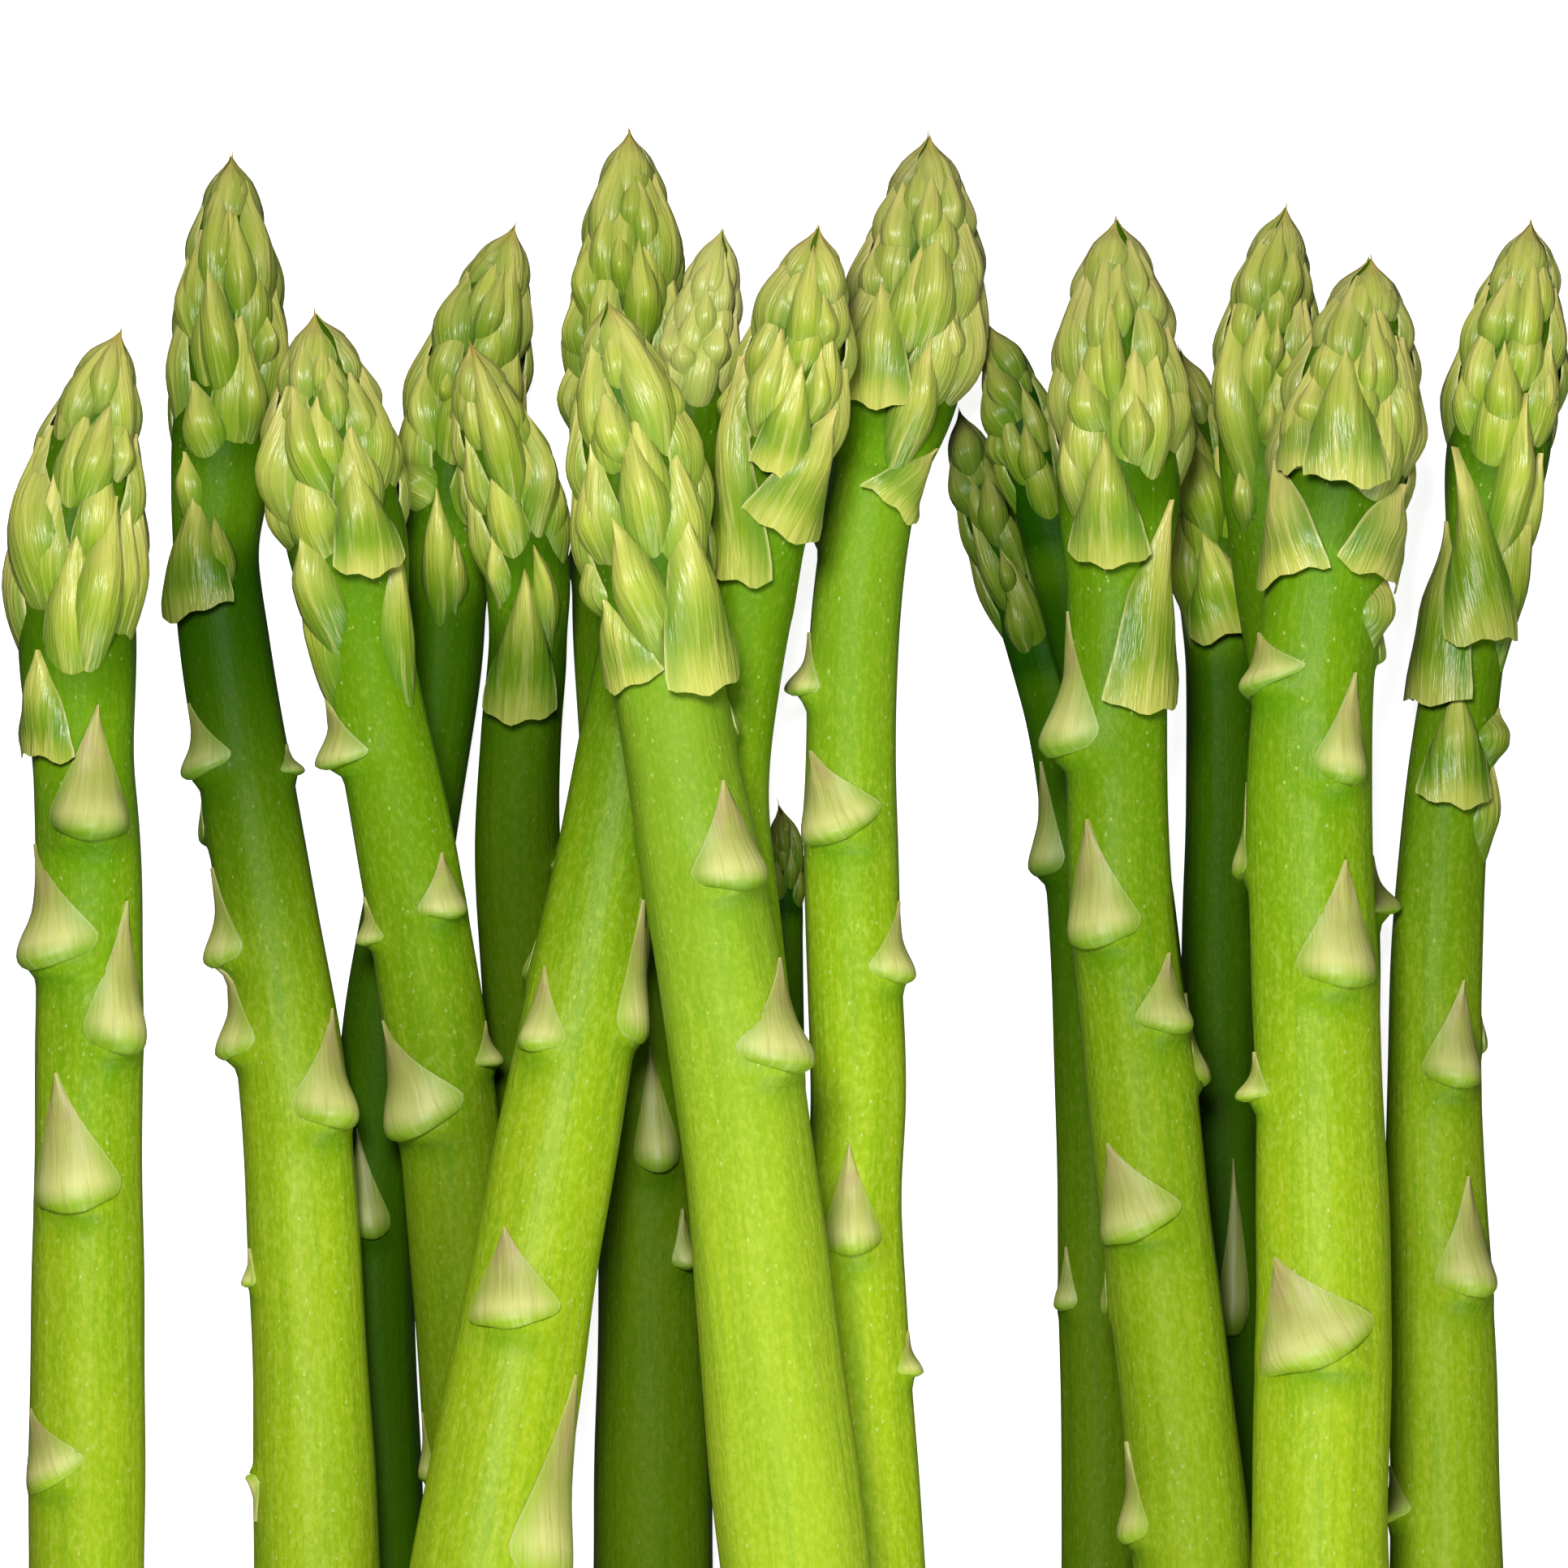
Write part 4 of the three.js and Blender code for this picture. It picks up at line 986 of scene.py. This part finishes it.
def add(finish, kind, inputs, **settings):
    """Adds a node with its settings, values and links."""
    made = finish.node_tree.nodes.new(kind)
    for name, value in settings.items():
        setattr(made, name, value)
    connect(finish, made, inputs)
    return made


def new_finish(name, *wanted):
    """A finish, its surface, and the numbers that it reads from the mesh."""
    finish = bpy.data.materials.new(name)
    finish.use_nodes = True
    numbers = [
        add(finish, "ShaderNodeAttribute", {}, attribute_name=number).outputs["Fac"] for number in wanted
    ]
    return finish, finish.node_tree.nodes["Principled BSDF"], *numbers


print("leaf green in linear light:", [round(level, 3) for level in paint("#84ab0c")[:3]])

# %% Coats of colour
RANGE_INPUTS = ("Value", "From Min", "From Max", "To Min", "To Max")


def painted(finish, base, coats):
    """The colour of a base with coats laid over it, one after the other.

    A coat is a colour and its shares, whose product is its strength. A share is a value, or
    a row for a range node: a value, where it starts and ends to count, and from how much to
    how much, which is 0 to 1 where the row doesn't say.
    """
    colour = paint(base)
    for above, *shares in coats:
        strength = None
        for share in shares:
            if isinstance(share, tuple):
                share = add(finish, "ShaderNodeMapRange", dict(zip(RANGE_INPUTS, share))).outputs[0]
            if strength is not None:
                both = {0: strength, 1: share}
                share = add(finish, "ShaderNodeMath", both, operation="MULTIPLY").outputs[0]
            strength = share
        above = paint(above) if isinstance(above, str) else above
        layer = add(finish, "ShaderNodeMix", {0: strength, 6: colour, 7: above}, data_type="RGBA")
        colour = layer.outputs[2]
    return colour


def growth_pattern(finish, per_mm, detail, rough=0.5):
    """Noise that lies along the growth. per_mm: repeats per mm across, round and along."""
    lie = add(finish, "ShaderNodeAttribute", {}, attribute_name="lie").outputs["Vector"]
    scaled = add(finish, "ShaderNodeMapping", {"Vector": lie, "Scale": per_mm}).outputs[0]
    inputs = {"Vector": scaled, "Scale": 1, "Detail": detail, "Roughness": rough}
    return add(finish, "ShaderNodeTexNoise", inputs).outputs["Fac"]


# %% [markdown]
# ## Waxy green skin
#
# The skin of a green asparagus stem is smooth and covered with a thin bloom of wax: satin,
# never wet. It is dark green under the head and bright yellow-green further down, with
# blotches about 7 mm wide, faint streaks 1.1 mm apart along the growth and pale specks a
# third of a millimetre wide. Real streaks are finer and are drawn coarser so that they show.
# It is painted a little darker in the fold under each bract, a painted shadow under the bract's ledge.
# Spears at the back are painted darker and have less gloss, a painted shade, because those in front keep
# the light from them, and the palest are painted lighter, a painted light.

# %% What the stem's skin reads
# The stem's "edge" number is a painted shadow in the fold under each bract.
stem_skin, surface, fresh, shade, fold_shadow = new_finish("waxy_green_skin", "fresh", "shade", "edge")
blotches = growth_pattern(stem_skin, (0.14, 0.14, 0.05), 3)
streaks = growth_pattern(stem_skin, (0.9, 0.9, 0.035), 3, 0.6)
fine = growth_pattern(stem_skin, (1.5, 1.5, 0.9), 4, 0.65)
uneven = add(stem_skin, "ShaderNodeMapRange", dict(zip(RANGE_INPUTS, (blotches, 0.3, 0.7, -0.12, 0.12))))
ripe = add(stem_skin, "ShaderNodeMath", {0: fresh, 1: uneven.outputs[0]}, operation="ADD").outputs[0]
gloss = add(stem_skin, "ShaderNodeMapRange", dict(zip(RANGE_INPUTS, (shade, 0, 0.8, 0.45, 0.12))))
lie = add(stem_skin, "ShaderNodeAttribute", {}, attribute_name="lie").outputs["Vector"]
cells = add(stem_skin, "ShaderNodeMapping", {"Vector": lie, "Scale": (0.8, 0.8, 0.55)}).outputs[0]
specks = add(stem_skin, "ShaderNodeTexVoronoi", {"Vector": cells, "Scale": 1, "Randomness": 1})
chosen = add(stem_skin, "ShaderNodeSeparateColor", {0: specks.outputs["Color"]}).outputs[0]
print("stem skin reads", len(stem_skin.node_tree.nodes), "nodes")

# %% The stem's skin
stem_coats = (
    ("#84ab0c", (ripe, 0, 0.45)),  # green below the neck
    ("#a3bd18", (ripe, 0.4, 1)),  # yellow-green towards the cut
    ("#649c12", (streaks, 0.45, 0.7, 0, 0.4)),  # darker streaks
    ("#c4d958", (fine, 0.48, 0.7), (fresh, 0, 0.6, 0.14, 0.4)),  # bloom of wax
    ("#6a9c18", (fine, 0.5, 0.3, 0, 0.3)),  # green between the bloom
    ("#d3e28a", (specks.outputs["Distance"], 0.16, 0.08), (chosen, 0.5, 0.55), 0.55),  # specks
    ("#4c8a04", fold_shadow, 0.55),  # painted shadow in the fold under a bract
    ("#1a4200", (shade, 0, 1)),  # painted shade on spears at the back
    ("#b8d24a", (shade, 0, -0.2, 0, 0.4)),  # painted light on the palest spears
)
streak_height = add(stem_skin, "ShaderNodeMath", {0: streaks, 1: 0.8}, operation="MULTIPLY").outputs[0]
fine_height = add(stem_skin, "ShaderNodeMath", {0: fine, 1: 0.7}, operation="MULTIPLY").outputs[0]
height = add(stem_skin, "ShaderNodeMath", {0: streak_height, 1: fine_height}, operation="ADD").outputs[0]
relief = add(stem_skin, "ShaderNodeBump", {"Height": height, "Strength": 0.6, "Distance": 0.0003})
connect(stem_skin, surface, {
    "Base Color": painted(stem_skin, "#619004", stem_coats), "Normal": relief.outputs[0],
    "Roughness": 0.38, "IOR": 1.25, "Specular IOR Level": gloss.outputs[0],
    "Subsurface Weight": 0.12, "Subsurface Radius": (0.6, 1, 0.25), "Subsurface Scale": 0.0015,
})
print("stem coats:", len(stem_coats))

# %% [markdown]
# ## Head scales
#
# A scale is yellow-green and glossy where it bulges, and painted deep green towards its sides, a painted
# shade. At its base it is deep green too, partly its own green and partly a painted shade where it tucks
# under the scale below. It is paler towards its tip, where it dries to cream or tan, and outlined by a
# thin pale edge. The veins along a real one are a third of a millimetre apart, which is too fine to show,
# so they are drawn 0.7 mm apart, as colour and as fine grooves. A purple blush on the flanks mutes the
# green. Heads at the back are painted darker, a painted shade, and the palest heads lighter, a painted
# light.

# %% The scales' skin
scale_skin, surface, reach, edge, tint, shade, blush, crown = new_finish(
    "head_scale_skin", "reach", "edge", "tint", "shade", "blush", "crown"
)
veins = growth_pattern(scale_skin, (1.4, 0.02, 0.1), 3, 0.65)
mottle = growth_pattern(scale_skin, (0.35, 0.35, 0.2), 3)
gloss = add(scale_skin, "ShaderNodeMapRange", dict(zip(RANGE_INPUTS, (shade, 0, 0.8, 0.6, 0.2))))
scale_coats = (
    ("#afc428", tint),
    ("#488202", (reach, 0.62, 0.12, 0, 0.88)),  # deep green at the base, its own green with painted shade under the scale below
    ("#e8e07a", (reach, 0.42, 0.95), (mottle, 0.3, 0.7, 0.5, 1)),  # cream towards the tip
    ("#e8e088", (veins, 0.5, 0.7, 0, 0.5)),  # pale veins
    ("#7f9e1c", (veins, 0.48, 0.3, 0, 0.5)),  # green between them
    ("#4e8802", (edge, 0.3, 0.85), (reach, 1.1, 0.3), 0.85),  # painted shade towards the sides and overlaps
    ("#e4e498", (edge, 0.92, 1, 0, 0.7)),  # thin pale edge
    ("#cdb868", (reach, 0.9, 1, 0, 0.6)),  # dry point
    ("#b9a678", blush, (mottle, 0.3, 0.65, 0.55, 1), 0.8),  # blush on the flanks
    ("#b0902f", (crown, 0.2, 1, 0, 0.8)),  # tan at the tip of the spear
    ("#20400a", (shade, 0, 1)),  # painted shade on heads at the back
    ("#e2ea82", (shade, 0, -0.2, 0, 0.6)),  # painted light on the palest heads
)
relief = add(scale_skin, "ShaderNodeBump", {"Height": veins, "Strength": 0.8, "Distance": 0.0005})
connect(scale_skin, surface, {
    "Base Color": painted(scale_skin, "#8fae0c", scale_coats), "Normal": relief.outputs[0],
    "Roughness": 0.3, "IOR": 1.36, "Specular IOR Level": gloss.outputs[0],
    "Subsurface Weight": 0.12, "Subsurface Radius": (0.7, 1, 0.3), "Subsurface Scale": 0.0012,
})
print("scale coats:", len(scale_coats))

# %% [markdown]
# ## Dry bracts
#
# A bract on the stem is a thin papery triangle. At its base and along its sides it keeps the green of the
# stem around it, over the bud it is juicy and pale yellow, with a painted highlight on the bulge, and
# towards its point it dries to tan. Its fibres are 0.4 mm apart, and a dry film has less gloss than wax.
# Bracts at the back are painted darker, a painted shade.

# %% The bracts' skin
bract_skin, surface, reach, edge, tint, shade, fresh = new_finish(
    "papery_bract", "reach", "edge", "tint", "shade", "fresh"
)
fibres = growth_pattern(bract_skin, (2.4, 0.02, 0.14), 3, 0.6)
mottle = growth_pattern(bract_skin, (0.5, 0.5, 0.3), 3)
stem_green = painted(bract_skin, "#6a9a08", [("#9abd18", fresh)])
bract_coats = (
    ("#bccc5c", tint),
    (stem_green, (reach, 0.24, 0.05)),  # green at the base
    ("#e4e08c", (reach, 0.06, 0.2), (reach, 0.5, 0.25), 0.7),  # pale over the bud, with a painted highlight on its bulge
    ("#b0a264", (reach, 0.2, 0.7), (mottle, 0.3, 0.65, 0.45, 1)),  # dry towards the point
    ("#e2e0ac", (fibres, 0.5, 0.75, 0, 0.25)),  # pale fibres
    ("#96904a", (fibres, 0.47, 0.3, 0, 0.35)),  # brown between them
    (stem_green, (edge, 0.55, 0.92), (reach, 0.75, 0.3, 0.1, 0.7)),  # green sides
    ("#ccd08a", (edge, 0.94, 1, 0, 0.4)),  # light edge
    ("#24480a", (shade, 0, 1)),  # painted shade on bracts at the back
)
relief = add(bract_skin, "ShaderNodeBump", {"Height": fibres, "Strength": 0.5, "Distance": 0.0002})
connect(bract_skin, surface, {
    "Base Color": painted(bract_skin, "#a9bd40", bract_coats), "Normal": relief.outputs[0],
    "Roughness": 0.5, "IOR": 1.45,
    "Subsurface Weight": 0.1, "Subsurface Radius": (0.8, 1, 0.4), "Subsurface Scale": 0.001,
})
print("bract coats:", len(bract_coats))

# %% [markdown]
# ## The cut
#
# The cut end shows pale wet flesh inside a green ring, dotted with the darker ends of the
# fibre bundles, a little over a millimetre apart and each about half a millimetre wide.
# "reach" is the distance from the middle.

# %% The cut flesh
cut_flesh, surface, reach = new_finish("cut_flesh", "reach")
lie = add(cut_flesh, "ShaderNodeAttribute", {}, attribute_name="lie").outputs["Vector"]
bundles = add(cut_flesh, "ShaderNodeTexVoronoi", {"Vector": lie, "Scale": 0.85, "Randomness": 0.9})
bundle_distance = bundles.outputs["Distance"]
cut_coats = (
    ("#b9d079", (reach, 0.55, 0.95)),  # green ring
    ("#9db35c", (bundle_distance, 0.3, 0.16, 0, 0.6)),  # ends of the bundles
)
relief = add(cut_flesh, "ShaderNodeBump", {"Height": bundle_distance, "Strength": 0.4, "Distance": 0.0002})
connect(cut_flesh, surface, {
    "Base Color": painted(cut_flesh, "#dfe6b4", cut_coats), "Normal": relief.outputs[0],
    "Roughness": 0.5, "IOR": 1.4,
    "Subsurface Weight": 0.15, "Subsurface Radius": (1, 1, 0.5), "Subsurface Scale": 0.001,
})
print("cut coats:", len(cut_coats))

# %% [markdown]
# ## Eighteen spears
#
# Each spear's stem and leaves are joined into one piece, which stands for its solid and
# rides on the one body of the bunch.

# %% Building every spear
FINISHES = (stem_skin, scale_skin, bract_skin, cut_flesh)
for blank in (stem_blank, *leaf_blanks.values()):
    for finish in FINISHES:
        blank.data.materials.append(finish)


FIRST_SEED = 40
FIRST_TURN = 1.7
SMOOTH_BELOW = math.radians(50)


def build_spear(name, spear, index):
    """One whole spear. Its own seed and first turn make it differ from the others."""
    rng = np.random.default_rng(FIRST_SEED + index)
    start = index * FIRST_TURN
    rows = []
    for kind, bx, by, tx, ty, width, rise in spear["leaves"]:
        ends = spot_under(spear, bx, by, rise), spot_under(spear, tx, ty, 0.3 * rise)
        rows.append((kind, *ends, width, rise))
    rows += hidden_bracts(spear, start)
    spear["buds"] = [row[1:] for row in rows if row[0] == "bract"]
    parts = [wrap_stem(spear, rng)]
    parts += fill_head(spear, start, rng)
    parts += [wrap_leaf(spear, *row, rng) for row in rows]
    start_clean()
    for part in parts:
        part.select_set(True)
    bpy.context.view_layer.objects.active = parts[0]
    bpy.ops.object.join()
    whole = bpy.context.object
    whole.name = f"fine_{name}"
    whole.data.name = whole.name
    bpy.ops.object.shade_smooth_by_angle(angle=SMOOTH_BELOW)
    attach(whole, "root")
    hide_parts(name)
    return whole


faces = 0
for index, (name, spear) in enumerate(SPEARS.items()):
    whole = build_spear(name, spear, index)
    faces += sum(len(p.vertices) - 2 for p in whole.data.polygons)
print("triangles in all:", faces)
for blank in (stem_blank, *leaf_blanks.values()):
    bpy.data.objects.remove(blank)

# %% [markdown]
# ## Surface, light and camera
#
# The bunch lies on a white board. It glows a little and is kept out of reflections and
# bounced light, so that it stays white and doesn't brighten the dark spears from below. A
# wide soft lamp close to the camera's line keeps the shadows short and shades the round
# stems towards their sides. A weak low lamp in front of the cut ends and a dim sky fill the
# rest. The camera is far away with a long lens, because the picture shows hardly any
# perspective.

# %% The white board
BOARD_SIZE = 6
BOARD_DROP = 0.0002
start_clean()
bpy.ops.mesh.primitive_grid_add(
    x_subdivisions=40, y_subdivisions=40, size=BOARD_SIZE, location=(0, 0, -BOARD_DROP)
)
board = bpy.context.object
board.name = "white_board"
bpy.ops.object.transform_apply(location=True)
board_white, surface = new_finish("matt_white_board")
connect(board_white, surface, {
    "Base Color": paint("#f4f4f4"), "Roughness": 0.9,
    "Emission Color": paint("#ffffff"), "Emission Strength": 0.9,
})
board.data.materials.append(board_white)
board.visible_diffuse = False
board.visible_glossy = False
print("board, m:", BOARD_SIZE)

# %% Light
sky = bpy.data.worlds.new("soft_sky")
bpy.context.scene.world = sky
sky.use_nodes = True
connect(sky, sky.node_tree.nodes["Background"], {"Color": paint("#ffffff"), "Strength": 0.07})


def add_lamp(name, place, size, power):
    """A round lamp that shines at the middle of the bunch. In m and W."""
    start_clean()
    bpy.ops.object.light_add(type="AREA", location=place)
    lamp = bpy.context.object
    lamp.name = name
    lamp.data.shape = "DISK"
    lamp.data.size = size
    lamp.data.energy = power
    away = math.hypot(place[0], place[1])
    lamp.rotation_euler = (0, math.atan2(away, place[2]), math.atan2(place[1], place[0]))
    return lamp


key = add_lamp("key", (-0.16, 0.42, 1.3), 0.4, 19.3)
fill = add_lamp("fill", (0.3, -0.85, 0.55), 0.6, 7)
print("lamps, W:", key.data.energy, fill.data.energy)

# %% The camera
# The picture is square and 193.2 mm wide at the middle height of the bunch. In m.
VIEW_WIDTH = 0.1932
PICTURE_MIDDLE = 96.6
VIEW_MIDDLE = ((PICTURE_MIDDLE - ORIGIN_X) / 1000, (ORIGIN_Y - PICTURE_MIDDLE) / 1000)
DISTANCE = 3.0
MIDDLE_HEIGHT = 0.018
SENSOR_WIDTH = 36
bpy.ops.object.camera_add(location=(*VIEW_MIDDLE, MIDDLE_HEIGHT + DISTANCE), rotation=(0, 0, 0))
camera = bpy.context.object
camera.data.type = "PERSP"
camera.data.sensor_width = SENSOR_WIDTH
camera.data.lens = SENSOR_WIDTH * DISTANCE / VIEW_WIDTH
camera.data.clip_end = 20
camera.data.dof.use_dof = False
bpy.context.scene.camera = camera
bpy.context.scene.view_settings.view_transform = "Standard"
print("lens, mm:", round(camera.data.lens))
